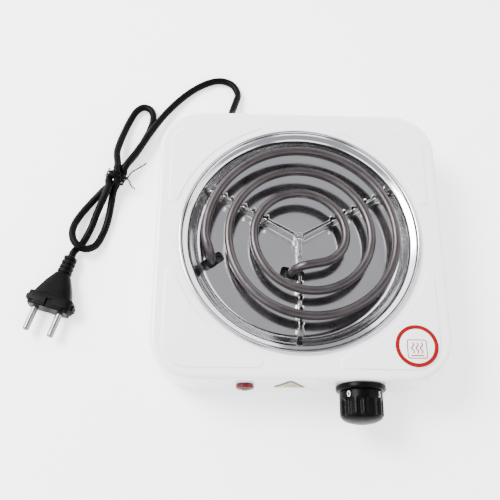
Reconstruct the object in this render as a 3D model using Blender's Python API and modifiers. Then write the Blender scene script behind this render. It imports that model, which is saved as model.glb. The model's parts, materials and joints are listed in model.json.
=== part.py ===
"""Single electric hot plate: a white pressed-steel body with a chromed drip pan, a three-turn
tubular element, a thermostat with its knob, an indicator lamp and a mains lead.

Frame: +Z up, the front (knob side) faces -Y. The origin is on the table under the middle of the
body and its knob.
"""
import math

import bmesh
import bpy
from mathutils import Matrix, Vector

# ---------------------------------------------------------------- driving dimensions (metres)
GAP = 0.0003                 # air between neighbours that touch or are cut by each other

BODY_WIDTH = 0.210
BODY_DEPTH = 0.210
BODY_HEIGHT = 0.037          # skirt of the pressed shell
BODY_CORNER = 0.032          # plan radius of the four corners
BODY_EDGE = 0.0035           # radius between the top face and the skirt
SHELL_WALL = 0.0008
LIP_INSET = 0.009            # inward flange round the shell's lower edge
COVER_WALL = 0.0008
FOOT_HEIGHT = 0.0076
FOOT_RADIUS = 0.009
FOOT_INSET = 0.0245          # foot centre to the body's side
SCREW_RADIUS = 0.0019
SCREW_CLEARANCE = 0.0004

PAD_HEIGHT = 0.0008          # raised corner fields of the top face
PAD_SIDE_INSET = 0.009       # fields to the body's left and right sides
PAD_FRONT_INSET = 0.0075
PAD_REAR_INSET = 0.0122
PAD_END = 0.027              # half the plain channel between two fields
PAD_CORNER = 0.018
PAD_ROUND = 0.0012
PAD_RIM_MARGIN = 0.0055      # drip pan rim to the fields

PAN_RADIUS = 0.088           # rolled rim, outside
PAN_ROLL = 0.0024            # width of the rolled rim
PAN_WALL = 0.0006
PAN_DEPTH = 0.0100           # floor below the top face
PAN_SIDE_RUN = 0.0175        # plan width of the sloping side and the rim
PAN_FILLET = 0.0080          # radius between the floor and the side
PAN_SLOPE = math.radians(56)
PAN_FLARE_RUN = 0.0079       # plan width of the flatter upper part of the side, with the rim
PAN_FLARE_DROP = 0.0020      # where that part starts, below the top face
PAN_FLANGE_RUN = 0.0050      # plan width of its flattest part, with the rim
PAN_SEAT = 0.0012            # pan cone to the shell's opening

TUBE_RADIUS = 0.00325        # sheathed heating tube
COIL_MARGIN = 0.0003         # pan floor's edge to the middle of the outermost turn
COIL_START_INSET = 0.0018    # the outer end lies this far inside that turn's radius
COIL_INNER_REACH = 0.0334    # radius at which the last full turn ends
COIL_TURNS = 3
COIL_CLEARANCE = 0.0130      # tube centre above the pan floor
COIL_DROP = 0.0115           # bend radius where the tube turns down
COIL_LEG = 0.0120            # straight cold end under the bend
SLOT_LENGTH = 0.0175
SLOT_CLEARANCE = 0.00085     # each side of the tube
SLOT_SHIFT = 0.0006          # slot middle from the tube, along the slot
SLOT_ANGLES = (36, -14)      # degrees in plan, outer and inner end of the tube

STRIP_WALL = 0.0008          # folded support strips
STRIP_SPACING = 0.0018       # between the middles of the two leaves of one arm
STRIP_RISE = 0.0088          # strip height between the turns
STRIP_OVERHANG = 0.0015      # a strip's end past the pan floor's edge
STRIP_TAB = 0.0022           # a strip reaches at least this far past its outermost saddle
EAR_HEIGHT = 0.0034
EAR_SHARE = 0.2913           # of the room between two saddles
SADDLE_CLEARANCE = 0.0008    # each side of the tube

KNOB_X = 0.042
LAMP_X = -0.0384
FRONT_AXIS_DROP = 0.0175     # knob and lamp axes below the top face
KNOB_BARREL = 0.0150
KNOB_FLANGE_STEP = 0.0024
KNOB_LENGTH = 0.0210         # wall to the start of the rounded end
KNOB_DOME = 0.0055
KNOB_STANDOFF = 0.0006
SPINDLE_RADIUS = 0.0030
BUSH_RADIUS = 0.0048
LENS_RADIUS = 0.0064
LENS_PROUD = 0.0042

CORD_RADIUS = 0.00285
CORD_X = -0.0535             # where the lead leaves the rear wall
CORD_EXIT_Z = 0.0190
BOOT_LENGTH = 0.0205         # tapered strain relief outside the wall
BOOT_AXIS = Vector((0.10, 0.90, -0.42)).normalized()

LABEL_WALL = 0.0004
LABEL_RADIUS = 0.0150
LABEL_X = 0.079
LABEL_Y = -0.081
TRIANGLE_SIDE = 0.0255
TRIANGLE_X = -0.0073

# ---------------------------------------------------------------- levels that follow
COVER_BOTTOM = FOOT_HEIGHT + GAP
COVER_TOP = COVER_BOTTOM + COVER_WALL
SHELL_BOTTOM = COVER_TOP + GAP
LIP_TOP = SHELL_BOTTOM + SHELL_WALL
TOP_FACE = SHELL_BOTTOM + BODY_HEIGHT
CEILING = TOP_FACE - SHELL_WALL
PAN_FLOOR = TOP_FACE - PAN_DEPTH
PAN_FLOOR_RADIUS = PAN_RADIUS - PAN_SIDE_RUN
COIL_RADIUS = PAN_FLOOR_RADIUS - COIL_MARGIN
COIL_START = COIL_RADIUS - COIL_START_INSET
SLOT_WIDTH = 2 * (TUBE_RADIUS + SLOT_CLEARANCE)
COIL_PITCH = (COIL_RADIUS - COIL_INNER_REACH) / (COIL_TURNS - 1)
SADDLE_HALF = TUBE_RADIUS + SADDLE_CLEARANCE
EAR_WIDTH = EAR_SHARE * (COIL_PITCH - 2 * SADDLE_HALF)
KNOB_FLANGE = KNOB_BARREL + KNOB_FLANGE_STEP
COIL_LEVEL = PAN_FLOOR + COIL_CLEARANCE
FRONT_AXIS_Z = TOP_FACE - FRONT_AXIS_DROP
FRONT = -BODY_DEPTH / 2
REAR = BODY_DEPTH / 2
KNOB_TIP = KNOB_LENGTH + KNOB_DOME
BODY_CENTRE_Y = KNOB_TIP / 2     # the knob stands proud in front, so the body sits behind the origin
FOOT_X = BODY_WIDTH / 2 - FOOT_INSET
FOOT_Y = BODY_DEPTH / 2 - FOOT_INSET
PAD_OUT_X = BODY_WIDTH / 2 - PAD_SIDE_INSET
PAD_FRONT_Y = BODY_DEPTH / 2 - PAD_FRONT_INSET
PAD_REAR_Y = BODY_DEPTH / 2 - PAD_REAR_INSET
PAD_ARC = PAN_RADIUS + PAD_RIM_MARGIN
PAN_CONE = PAN_RADIUS - PAN_ROLL - 0.001      # pan radius just inside the rolled rim
OPENING_RADIUS = PAN_CONE - PAN_SEAT + 0.002
WALL_INSIDE = FRONT + SHELL_WALL
TRIANGLE_Z = TOP_FACE - BODY_EDGE - 0.0126

# ---------------------------------------------------------------- scene, materials
for old in list(bpy.data.objects):
    bpy.data.objects.remove(old, do_unlink=True)

PARTS = bpy.data.collections.new("hot_plate")
CUTTERS = bpy.data.collections.new("cutters")
bpy.context.scene.collection.children.link(PARTS)
bpy.context.scene.collection.children.link(CUTTERS)

BODY = bpy.data.objects.new("body_centre", None)
BODY.location = (0, BODY_CENTRE_Y, 0)
PARTS.objects.link(BODY)


def paint(name, colour, roughness, metallic=0.0):
    """A Principled material."""
    material = bpy.data.materials.new(name)
    material.use_nodes = True
    shader = material.node_tree.nodes["Principled BSDF"]
    shader.inputs["Base Color"].default_value = (*colour, 1.0)
    shader.inputs["Roughness"].default_value = roughness
    shader.inputs["Metallic"].default_value = metallic
    return material


ENAMEL = paint("white_enamel", (0.86, 0.86, 0.88), 0.25)
CHROME = paint("chrome", (0.80, 0.80, 0.82), 0.08, 1.0)
SHEATH = paint("element_sheath", (0.20, 0.16, 0.16), 0.38, 1.0)
STRIP = paint("plated_strip", (0.72, 0.72, 0.72), 0.25, 1.0)
STEEL = paint("zinc_steel", (0.60, 0.61, 0.62), 0.40, 1.0)
BRASS = paint("brass", (0.70, 0.52, 0.24), 0.30, 1.0)
BIMETAL = paint("bimetal", (0.66, 0.60, 0.50), 0.35, 1.0)
CERAMIC = paint("steatite", (0.82, 0.79, 0.70), 0.60)
BAKELITE = paint("black_knob", (0.02, 0.02, 0.022), 0.35)
RUBBER = paint("black_rubber", (0.03, 0.03, 0.03), 0.80)
PVC = paint("black_pvc", (0.02, 0.02, 0.02), 0.45)
RED = paint("red_lens", (0.65, 0.03, 0.03), 0.15)
GLASS = paint("lamp_glass", (0.90, 0.80, 0.70), 0.05)
SLEEVE = paint("glass_fibre_sleeve", (0.85, 0.83, 0.76), 0.85)
LABEL_RED = paint("round_label", (0.80, 0.10, 0.10), 0.50)
LABEL_YELLOW = paint("triangle_label", (0.85, 0.80, 0.40), 0.50)


# ---------------------------------------------------------------- building blocks
def enter(obj, material, collection=PARTS, parent=None):
    """Put an object in its collection under its parent, with its material."""
    collection.objects.link(obj)
    obj.parent = parent or BODY
    obj.data.materials.clear()
    obj.data.materials.append(material)
    return obj


def as_cutter(obj):
    """Move a piece to the cutters, hidden from the build."""
    PARTS.objects.unlink(obj)
    CUTTERS.objects.link(obj)
    obj.hide_render = True
    obj.display_type = "WIRE"
    return obj


def boolean(target, tool, operation="DIFFERENCE"):
    """Cut or join with an exact Boolean."""
    step = target.modifiers.new(operation.lower(), "BOOLEAN")
    step.operation = operation
    step.solver = "EXACT"
    step.object = tool


def mesh_object(name, mesh_builder, material, location=(0, 0, 0), rotation=(0, 0, 0), parent=None):
    """An object from a bmesh, at its place."""
    mesh = bpy.data.meshes.new(name)
    mesh_builder.to_mesh(mesh)
    mesh_builder.free()
    obj = bpy.data.objects.new(name, mesh)
    obj.location = location
    obj.rotation_euler = rotation
    return enter(obj, material, parent=parent)


def box(name, size, location, material, rotation=(0, 0, 0), parent=None):
    """A plain block with its middle at the location."""
    bm = bmesh.new()
    bmesh.ops.create_cube(bm, size=1.0)
    bmesh.ops.scale(bm, vec=Vector(size), verts=bm.verts)
    return mesh_object(name, bm, material, location, rotation, parent)


def rod(name, radius, length, location, material, rotation=(0, 0, 0), sides=24, parent=None):
    """A cylinder along its own Z, with its middle at the location."""
    bm = bmesh.new()
    bmesh.ops.create_cone(
        bm, cap_ends=True, segments=sides, radius1=radius, radius2=radius, depth=length
    )
    return mesh_object(name, bm, material, location, rotation, parent)


def turned(name, profile, material, location=(0, 0, 0), rotation=(0, 0, 0), steps=32, parent=None):
    """A profile of (radius, height) turned round Z. It runs down the outer side."""
    closed = profile[0][0] > 0
    bm = bmesh.new()
    points = [bm.verts.new((radius, 0, height)) for radius, height in profile]
    for start, end in zip(points, points[1:]):
        bm.edges.new((start, end))
    if closed:
        bm.edges.new((points[-1], points[0]))
    obj = mesh_object(name, bm, material, location, rotation, parent)
    screw = obj.modifiers.new("turn", "SCREW")
    screw.axis = "Z"
    screw.steps = screw.render_steps = steps
    screw.use_merge_vertices = True
    screw.merge_threshold = 0.00001
    screw.use_smooth_shade = True
    return obj


def to_mesh(curve_object, name, material, parent=None):
    """The evaluated curve as a closed mesh object; the curve is removed."""
    bpy.context.view_layer.update()
    graph = bpy.context.evaluated_depsgraph_get()
    mesh = bpy.data.meshes.new_from_object(curve_object.evaluated_get(graph))
    bm = bmesh.new()
    bm.from_mesh(mesh)
    bmesh.ops.remove_doubles(bm, verts=bm.verts, dist=0.000005)
    bm.to_mesh(mesh)
    bm.free()
    obj = bpy.data.objects.new(name, mesh)
    obj.location = curve_object.location
    obj.rotation_euler = curve_object.rotation_euler
    bpy.data.objects.remove(curve_object, do_unlink=True)
    return enter(obj, material, parent=parent)


def plate(name, outlines, thickness, location, material, rotation=(0, 0, 0), parent=None):
    """Flat outlines of (x, y), the inner ones as holes, made thick both ways from the location."""
    curve = bpy.data.curves.new(name, "CURVE")
    curve.dimensions = "2D"
    curve.fill_mode = "BOTH"
    curve.extrude = thickness / 2
    for outline in outlines:
        spline = curve.splines.new("POLY")
        spline.points.add(len(outline) - 1)
        for point, (x, y) in zip(spline.points, outline):
            point.co = (x, y, 0, 1)
        spline.use_cyclic_u = True
    obj = bpy.data.objects.new(name + "_outline", curve)
    obj.location = location
    obj.rotation_euler = rotation
    PARTS.objects.link(obj)
    return to_mesh(obj, name, material, parent)


def tube(name, points, radius, material, resolution=2, parent=None):
    """A round wire through the points, with flat ends."""
    curve = bpy.data.curves.new(name, "CURVE")
    curve.dimensions = "3D"
    curve.bevel_depth = radius
    curve.bevel_resolution = resolution
    curve.use_fill_caps = True
    spline = curve.splines.new("POLY")
    spline.points.add(len(points) - 1)
    for point, place in zip(spline.points, points):
        point.co = (*place, 1)
    obj = bpy.data.objects.new(name + "_line", curve)
    PARTS.objects.link(obj)
    return to_mesh(obj, name, material, parent)


def circle(radius, count=24, centre=(0, 0)):
    """Points round a circle."""
    turn = 2 * math.pi / count
    return [
        (centre[0] + radius * math.cos(i * turn), centre[1] + radius * math.sin(i * turn))
        for i in range(count)
    ]


def rounded(corners, segments=4):
    """An outline of (x, y, radius) corners with each corner rounded by an arc."""
    outline = []
    for index, (x, y, radius) in enumerate(corners):
        here = Vector((x, y))
        if radius == 0:
            outline.append((x, y))
            continue
        before = (Vector(corners[index - 1][:2]) - here).normalized()
        after = (Vector(corners[(index + 1) % len(corners)][:2]) - here).normalized()
        half = before.angle(after) / 2
        middle = here + (before + after).normalized() * radius / math.sin(half)
        reach = radius / math.tan(half)
        first = here + before * reach - middle
        last = here + after * reach - middle
        sweep = first.angle_signed(last)
        for step in range(segments + 1):
            spoke = first.copy()
            spoke.rotate(Matrix.Rotation(-sweep * step / segments, 2))
            outline.append(tuple(middle + spoke))
    return outline


def rounded_box_outline(half_x, half_y, radius, segments=6):
    """A rectangle with round corners."""
    corners = [(half_x, -half_y), (half_x, half_y), (-half_x, half_y), (-half_x, -half_y)]
    return rounded([(x, y, radius) for x, y in corners], segments)


def slot_outline(length, width, centre, angle):
    """A slot with round ends, its long side at the angle."""
    across = width / 2
    along = length / 2 - across
    outline = []
    for side in (1, -1):
        for step in range(7):
            bow = math.pi * (step / 6 - side / 2)
            spot = Vector((side * along + across * math.cos(bow), across * math.sin(bow)))
            spot.rotate(Matrix.Rotation(angle, 2))
            outline.append((centre[0] + spot.x, centre[1] + spot.y))
    return outline


def smooth_path(points, spacing, bend_share=0.010):
    """Points on a smooth curve through the given points, closer together where it bends.

    bend_share is the length that one radian of bending counts as.
    """
    fine = []
    last = len(points) - 1
    for index in range(last):
        a = Vector(points[max(index - 1, 0)])
        b = Vector(points[index])
        c = Vector(points[index + 1])
        d = Vector(points[min(index + 2, last)])
        for step in range(16):
            t = step / 16
            fine.append(
                0.5 * (2 * b + (c - a) * t + (2 * a - 5 * b + 4 * c - d) * t**2
                       + (3 * b - a - 3 * c + d) * t**3)
            )
    fine.append(Vector(points[last]))
    walk = [0.0]
    for index in range(1, len(fine)):
        step = fine[index] - fine[index - 1]
        before = fine[max(index - 1, 1)] - fine[max(index - 1, 1) - 1]
        walk.append(walk[-1] + step.length + bend_share * step.angle(before, 0.0))
    count = max(2, round(walk[-1] / spacing))
    spread = [fine[0]]
    for index in range(1, len(fine)):
        while len(spread) < count and walk[index] >= walk[-1] * len(spread) / count:
            wanted = walk[-1] * len(spread) / count
            share = (wanted - walk[index - 1]) / (walk[index] - walk[index - 1])
            spread.append(fine[index - 1].lerp(fine[index], share))
    spread.append(fine[-1])
    return spread


FACE_FRONT = (math.pi / 2, 0, 0)       # local +Z points out of the front wall
FACE_REAR = (-math.pi / 2, 0, 0)       # local +Z points out of the rear wall


# ---------------------------------------------------------------- casing
def skirted_block(name, half_x, half_y, bottom, top, corner, edge):
    """A block with round upright corners and a rounded top edge."""
    bm = bmesh.new()
    bmesh.ops.create_cube(bm, size=1.0)
    bmesh.ops.scale(bm, vec=(2 * half_x, 2 * half_y, top - bottom), verts=bm.verts)
    bmesh.ops.translate(bm, vec=(0, 0, (top + bottom) / 2), verts=bm.verts)
    upright = [e for e in bm.edges if abs(e.verts[0].co.z - e.verts[1].co.z) > 0.001]
    bmesh.ops.bevel(bm, geom=upright, offset=corner, segments=7, profile=0.5, affect="EDGES")
    rim = [e for e in bm.edges if min(v.co.z for v in e.verts) > top - 0.0001]
    bmesh.ops.bevel(bm, geom=rim, offset=edge, segments=3, profile=0.5, affect="EDGES")
    return mesh_object(name, bm, ENAMEL)


def pad_outline(sign_x, sign_y, inset):
    """One raised corner field: straight outside, concentric with the pan inside."""
    out_x = PAD_OUT_X - inset
    out_y = (PAD_REAR_Y if sign_y > 0 else PAD_FRONT_Y) - inset
    end = PAD_END + inset
    arc = PAD_ARC + inset
    first = math.asin(end / arc)
    corners = [(out_x, end, PAD_ROUND), (out_x, out_y, PAD_CORNER - inset), (end, out_y, PAD_ROUND)]
    steps = 8
    for step in range(steps + 1):
        angle = math.pi / 2 - first - (math.pi / 2 - 2 * first) * step / steps
        radius = PAD_ROUND / 2 if step in (0, steps) else 0
        corners.append((arc * math.cos(angle), arc * math.sin(angle), radius))
    return [(sign_x * x, sign_y * y) for x, y in rounded(corners, 3)]


def pad_fields(name, inset, top):
    """The four raised fields as one tool, from inside the sheet up to the given level."""
    outlines = [pad_outline(sx, sy, inset) for sx in (1, -1) for sy in (1, -1)]
    return as_cutter(plate(name, outlines, 0.004, (0, 0, top - 0.002), ENAMEL))


def through(name, radius, x, y, z, rotation, length=0.008, sides=24):
    """A round hole's cutter."""
    return as_cutter(rod(name, radius, length, (x, y, z), ENAMEL, rotation, sides))


def build_shell():
    """Pressed top shell: skirt, raised fields, pan opening, lip and the holes in its walls."""
    half_x = BODY_WIDTH / 2
    half_y = BODY_DEPTH / 2
    shell = skirted_block("top_shell", half_x, half_y, SHELL_BOTTOM, TOP_FACE, BODY_CORNER, BODY_EDGE)
    boolean(shell, pad_fields("pad_fields", 0.0, TOP_FACE + PAD_HEIGHT), "UNION")
    hollow = skirted_block(
        "shell_hollow", half_x - SHELL_WALL, half_y - SHELL_WALL, LIP_TOP, CEILING,
        BODY_CORNER - SHELL_WALL, BODY_EDGE - SHELL_WALL,
    )
    boolean(shell, as_cutter(hollow))
    boolean(shell, pad_fields("pad_hollows", SHELL_WALL, TOP_FACE + PAD_HEIGHT - SHELL_WALL))
    lip = rounded_box_outline(half_x - LIP_INSET, half_y - LIP_INSET, BODY_CORNER + 0.018)
    boolean(shell, as_cutter(plate("lip_opening", [lip], 0.004, (0, 0, SHELL_BOTTOM), ENAMEL)))
    boolean(shell, through("pan_opening", OPENING_RADIUS, 0, 0, TOP_FACE, (0, 0, 0), sides=64))
    wall_y = FRONT + SHELL_WALL / 2
    bush_hole = BUSH_RADIUS + SCREW_CLEARANCE
    boolean(shell, through("bush_hole", bush_hole, KNOB_X, wall_y, FRONT_AXIS_Z, FACE_FRONT))
    boolean(shell, through("lamp_hole", LENS_RADIUS - 0.001, LAMP_X, wall_y, FRONT_AXIS_Z, FACE_FRONT))
    boolean(shell, through("cord_hole", 0.0057, CORD_X, REAR, CORD_EXIT_Z, FACE_REAR))
    for sx in (1, -1):
        for sy in (1, -1):
            hole = through(
                "lip_screw_hole", SCREW_RADIUS + SCREW_CLEARANCE, sx * FOOT_X, sy * FOOT_Y,
                SHELL_BOTTOM, (0, 0, 0), sides=12,
            )
            boolean(shell, hole)
    return shell


def bracket_frame():
    """Middle and direction of the line through the element's two cold ends."""
    outer, inner = coil_feet()
    middle = (outer + inner) / 2
    line = inner - outer
    return middle, math.atan2(line.y, line.x), line.length


def bracket_screw_places():
    """Where the element bracket is screwed to the bottom cover."""
    middle, angle, length = bracket_frame()
    reach = Vector((length / 2 + 0.0165, 0))
    reach.rotate(Matrix.Rotation(angle, 2))
    return [middle + reach, middle - reach]


def build_bottom_cover():
    """Louvred bottom plate under the lip."""
    outlines = [rounded_box_outline(BODY_WIDTH / 2 - 0.0035, BODY_DEPTH / 2 - 0.0035, BODY_CORNER - 0.0035)]
    clear = SCREW_RADIUS + SCREW_CLEARANCE
    for sx in (1, -1):
        for sy in (1, -1):
            outlines.append(circle(clear, 12, (sx * FOOT_X, sy * FOOT_Y)))
    for place in bracket_screw_places():
        outlines.append(circle(clear, 12, place))
    for row in range(5):
        y = 0.024 + row * 0.0095
        for x in (-0.030, 0.030):
            outlines.append(slot_outline(0.042, 0.0040, (x, y), 0))
    for row in range(4):
        outlines.append(slot_outline(0.036, 0.0040, (0.046, -0.024 - row * 0.0095), 0))
    middle = (COVER_BOTTOM + COVER_TOP) / 2
    plate("bottom_cover", outlines, COVER_WALL, (0, 0, middle), STEEL)


def build_feet():
    """Rubber feet and the screws that hold them, the cover and the shell's lip together."""
    bore = SCREW_RADIUS + SCREW_CLEARANCE
    head = 0.0036
    well = 0.0040
    foot = [
        (bore, FOOT_HEIGHT), (FOOT_RADIUS, FOOT_HEIGHT), (FOOT_RADIUS, FOOT_HEIGHT - 0.002),
        (FOOT_RADIUS - 0.0012, 0.0010), (FOOT_RADIUS - 0.0022, 0), (head + 0.0006, 0),
        (head + 0.0006, well), (bore, well),
    ]
    tip = LIP_TOP + 0.0035
    screw = [
        (0, tip), (SCREW_RADIUS * 0.7, tip), (SCREW_RADIUS, tip - 0.001), (SCREW_RADIUS, well - GAP),
        (head, well - GAP), (head, well - 0.0016), (head * 0.6, well - 0.0026), (0, well - 0.0028),
    ]
    places = {
        "front_left": (-1, -1), "front_right": (1, -1), "rear_left": (-1, 1), "rear_right": (1, 1)
    }
    for name, (sx, sy) in places.items():
        spot = (sx * FOOT_X, sy * FOOT_Y, 0)
        turned("foot_" + name, foot, RUBBER, spot, steps=16)
        turned("foot_screw_" + name, screw, STEEL, spot, steps=12)


# ---------------------------------------------------------------- drip pan and element
def build_pan():
    """Chromed drip pan: rolled rim on the top face, sloping side, flat floor with two slots."""
    rim_low = TOP_FACE + GAP
    half = PAN_ROLL / 2
    roll_r = PAN_RADIUS - half
    roll_z = rim_low + half
    side = []
    for step in range(4):
        angle = PAN_SLOPE * step / 3
        side.append((
            PAN_FLOOR_RADIUS + PAN_FILLET * math.sin(angle), PAN_FLOOR + PAN_FILLET * (1 - math.cos(angle))
        ))
    side.append((PAN_RADIUS - PAN_FLARE_RUN, TOP_FACE - PAN_FLARE_DROP))
    side.append((PAN_RADIUS - PAN_FLANGE_RUN, TOP_FACE))
    side.append((PAN_CONE, rim_low + half))
    under = []
    for index, spot in enumerate(side):
        before = Vector(side[max(index - 1, 0)])
        after = Vector(side[min(index + 1, len(side) - 1)])
        along = (after - before).normalized()
        under.append((spot[0] + along.y * PAN_WALL, spot[1] - along.x * PAN_WALL))
    profile = [(0, PAN_FLOOR), *side]
    for step in range(7):
        angle = math.pi - 0.5 - (math.pi + 0.4) * step / 6
        profile.append((roll_r + half * math.cos(angle), roll_z + half * math.sin(angle)))
    inner = half - PAN_WALL
    for step in range(5):
        angle = -0.9 + (math.pi + 0.2) * step / 4
        profile.append((roll_r + inner * math.cos(angle), roll_z + inner * math.sin(angle)))
    profile += under[::-1]
    profile.append((0, PAN_FLOOR - PAN_WALL))
    pan = turned("drip_pan", profile, CHROME, steps=48)
    for foot, degrees in zip(coil_feet(), SLOT_ANGLES):
        angle = math.radians(degrees)
        centre = foot + Vector((math.cos(angle), math.sin(angle))) * SLOT_SHIFT
        shape = slot_outline(SLOT_LENGTH, SLOT_WIDTH, centre, angle)
        boolean(pan, as_cutter(plate("pan_slot", [shape], 0.004, (0, 0, PAN_FLOOR), CHROME)))


def half_turn_ends():
    """Where the spiral crosses the left-right line, from the outer end inwards."""
    ends = [-COIL_START]
    for turn in range(COIL_TURNS):
        reach = COIL_RADIUS - turn * COIL_PITCH
        ends.append(reach)
        if turn < COIL_TURNS - 1:
            ends.append(-(reach - COIL_PITCH))
    return ends


COIL_LAST_SWEEP = math.radians(79)   # of the last, tighter arc
COIL_LAST_RADIUS = 0.0215
COIL_RUN_IN = 0.0105                 # straight part before the tube turns down
COIL_END_SWEEP = math.radians(20)    # the outer end curls inwards before it turns down
COIL_END_RADIUS = 0.0180


def coil_plan():
    """The spiral in plan as (x, y), with the heading at both ends."""
    ends = half_turn_ends()
    points = []
    for index, (start, end) in enumerate(zip(ends, ends[1:])):
        middle = (start + end) / 2
        radius = abs(end - start) / 2
        count = max(8, round(math.pi * radius / 0.0085))
        upper = index % 2 == 0
        for step in range(count):
            angle = (math.pi if upper else 0.0) - math.pi * step / count
            points.append(Vector((middle + radius * math.cos(angle), radius * math.sin(angle))))
    middle = ends[-1] - COIL_LAST_RADIUS
    count = 6
    for step in range(count + 1):
        angle = -COIL_LAST_SWEEP * step / count
        points.append(Vector((
            middle + COIL_LAST_RADIUS * math.cos(angle), COIL_LAST_RADIUS * math.sin(angle)
        )))
    heading = Vector((math.sin(-COIL_LAST_SWEEP), -math.cos(COIL_LAST_SWEEP)))
    return points, heading.normalized()


def coil_feet():
    """Plan places of the two cold ends."""
    points, heading = coil_plan()
    curl, way = outer_end()
    inner = points[-1] + heading * (COIL_RUN_IN + COIL_DROP)
    return curl[-1] + way * COIL_DROP, inner


def outer_end():
    """The outer end's curl in plan, from the spiral's first point, and its heading where it turns down."""
    points = []
    for step in range(1, 4):
        angle = COIL_END_SWEEP * step / 3
        points.append(Vector((
            -COIL_START + COIL_END_RADIUS * (1 - math.cos(angle)), -COIL_END_RADIUS * math.sin(angle)
        )))
    return points, Vector((math.sin(COIL_END_SWEEP), -math.cos(COIL_END_SWEEP)))


def turn_down(start, heading):
    """Points of a tube that turns from level to straight down, and its leg."""
    bend = []
    count = 5
    for step in range(1, count + 1):
        angle = math.pi / 2 * step / count
        spot = start + heading * COIL_DROP * math.sin(angle)
        bend.append((spot.x, spot.y, COIL_LEVEL - COIL_DROP * (1 - math.cos(angle))))
    foot = bend[-1]
    bend.append((foot[0], foot[1], foot[2] - COIL_LEG))
    return bend


def coil_route():
    """The whole centreline of the heating tube."""
    plan, heading = coil_plan()
    curl, way = outer_end()
    route = turn_down(curl[-1], way)[::-1]
    route += [(spot.x, spot.y, COIL_LEVEL) for spot in curl[::-1]]
    route += [(spot.x, spot.y, COIL_LEVEL) for spot in plan]
    inner_start = plan[-1] + heading * COIL_RUN_IN
    route.append((*(plan[-1] + heading * COIL_RUN_IN / 2), COIL_LEVEL))
    route.append((inner_start.x, inner_start.y, COIL_LEVEL))
    return route + turn_down(inner_start, heading)


def build_element():
    """Heating tube, its end seals and studs, and the bracket that holds both cold ends."""
    tube("heating_coil", coil_route(), TUBE_RADIUS, SHEATH)
    low = COIL_LEVEL - COIL_DROP - COIL_LEG
    seal = [(0, 0), (0.0024, 0), (0.0030, -0.0008), (0.0030, -0.0030), (0, -0.0030)]
    stud = [(0, 0), (0.0016, 0), (0.0016, -0.0022), (0.0026, -0.0022), (0.0026, -0.0040), (0, -0.0040)]
    for name, foot in zip(("outer", "inner"), coil_feet()):
        turned("end_seal_" + name, seal, CERAMIC, (foot.x, foot.y, low - GAP), steps=16)
        turned("end_stud_" + name, stud, STEEL, (foot.x, foot.y, low - 2 * GAP - 0.0030), steps=12)
    middle, angle, length = bracket_frame()
    flat = length / 2 + 0.0095
    foot_end = length / 2 + 0.0225
    wall = 0.0010
    high = PAN_FLOOR - PAN_WALL - 0.0042
    low = COVER_TOP + GAP
    side = [
        (-foot_end, low), (-flat, low), (-flat, high - wall), (flat, high - wall), (flat, low),
        (foot_end, low), (foot_end, low + wall), (flat + wall, low + wall), (flat + wall, high),
        (-flat - wall, high), (-flat - wall, low + wall), (-foot_end, low + wall),
    ]
    place = (middle.x, middle.y, 0)
    bracket = plate("element_bracket", [side], 0.014, place, STEEL, (math.pi / 2, 0, angle))
    for foot in coil_feet():
        hole = rod("tube_hole", TUBE_RADIUS + GAP, 0.01, (foot.x, foot.y, high), STEEL, sides=16)
        boolean(bracket, as_cutter(hole))
    screw = [
        (0, 0.0062), (SCREW_RADIUS, 0.0062), (SCREW_RADIUS, 0), (0.0036, 0), (0.0036, -0.0012),
        (0.0022, -0.0020), (0, -0.0020),
    ]
    for number, spot in enumerate(bracket_screw_places(), 1):
        hole = rod("foot_hole", SCREW_RADIUS + SCREW_CLEARANCE, 0.01, (spot.x, spot.y, low), STEEL, sides=12)
        boolean(bracket, as_cutter(hole))
        place = (spot.x, spot.y, COVER_BOTTOM - GAP)
        turned("bracket_screw_%d" % number, screw, STEEL, place, steps=12)


def arm_crossings(angle):
    """Distances from the middle at which the spiral's turns pass over an arm."""
    ends = half_turn_ends()
    distances = []
    for index, (start, end) in enumerate(zip(ends, ends[1:])):
        upper = index % 2 == 0
        if upper == (math.sin(angle) > 0):
            middle = (start + end) / 2
            radius = abs(end - start) / 2
            along = middle * math.cos(angle)
            distances.append(along + math.sqrt(radius**2 - middle**2 + along**2))
    return sorted(distances)


def arm_stations(angle, dip):
    """(distance, lower edge, upper edge) along one arm of a strip, from the middle outwards."""
    low = PAN_FLOOR + GAP
    base = low + STRIP_RISE
    saddle = COIL_LEVEL - TUBE_RADIUS - 0.0004
    half = SADDLE_HALF
    crossings = arm_crossings(angle)
    reach = max(PAN_FLOOR_RADIUS + STRIP_OVERHANG, crossings[-1] + half + STRIP_TAB)
    stations = [(0.004, low, base)]
    if dip:
        first, last, level = dip
        stations += [(first, low, base), (first + 0.0008, low, level)]
        stations += [(last, low, level), (last + 0.0008, low, base)]
    for distance in crossings:
        inner = distance - half
        outer = distance + half
        ear = saddle + EAR_HEIGHT
        stations += [
            (inner - EAR_WIDTH, low, base), (inner - EAR_WIDTH + 0.0006, low, ear),
            (inner - 0.0004, low, ear), (inner, low, saddle), (outer, low, saddle),
            (outer + 0.0004, low, ear),
        ]
        if outer + EAR_WIDTH < reach:
            stations += [(outer + EAR_WIDTH - 0.0006, low, ear), (outer + EAR_WIDTH, low, base)]
    top = base if stations[-1][2] == base else stations[-1][2] - 0.0006
    stations.append((reach, low, top))
    heel = PAN_FLOOR_RADIUS - 0.0005
    return [(spot, lower + max(0.0, spot - heel), upper) for spot, lower, upper in stations]


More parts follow.
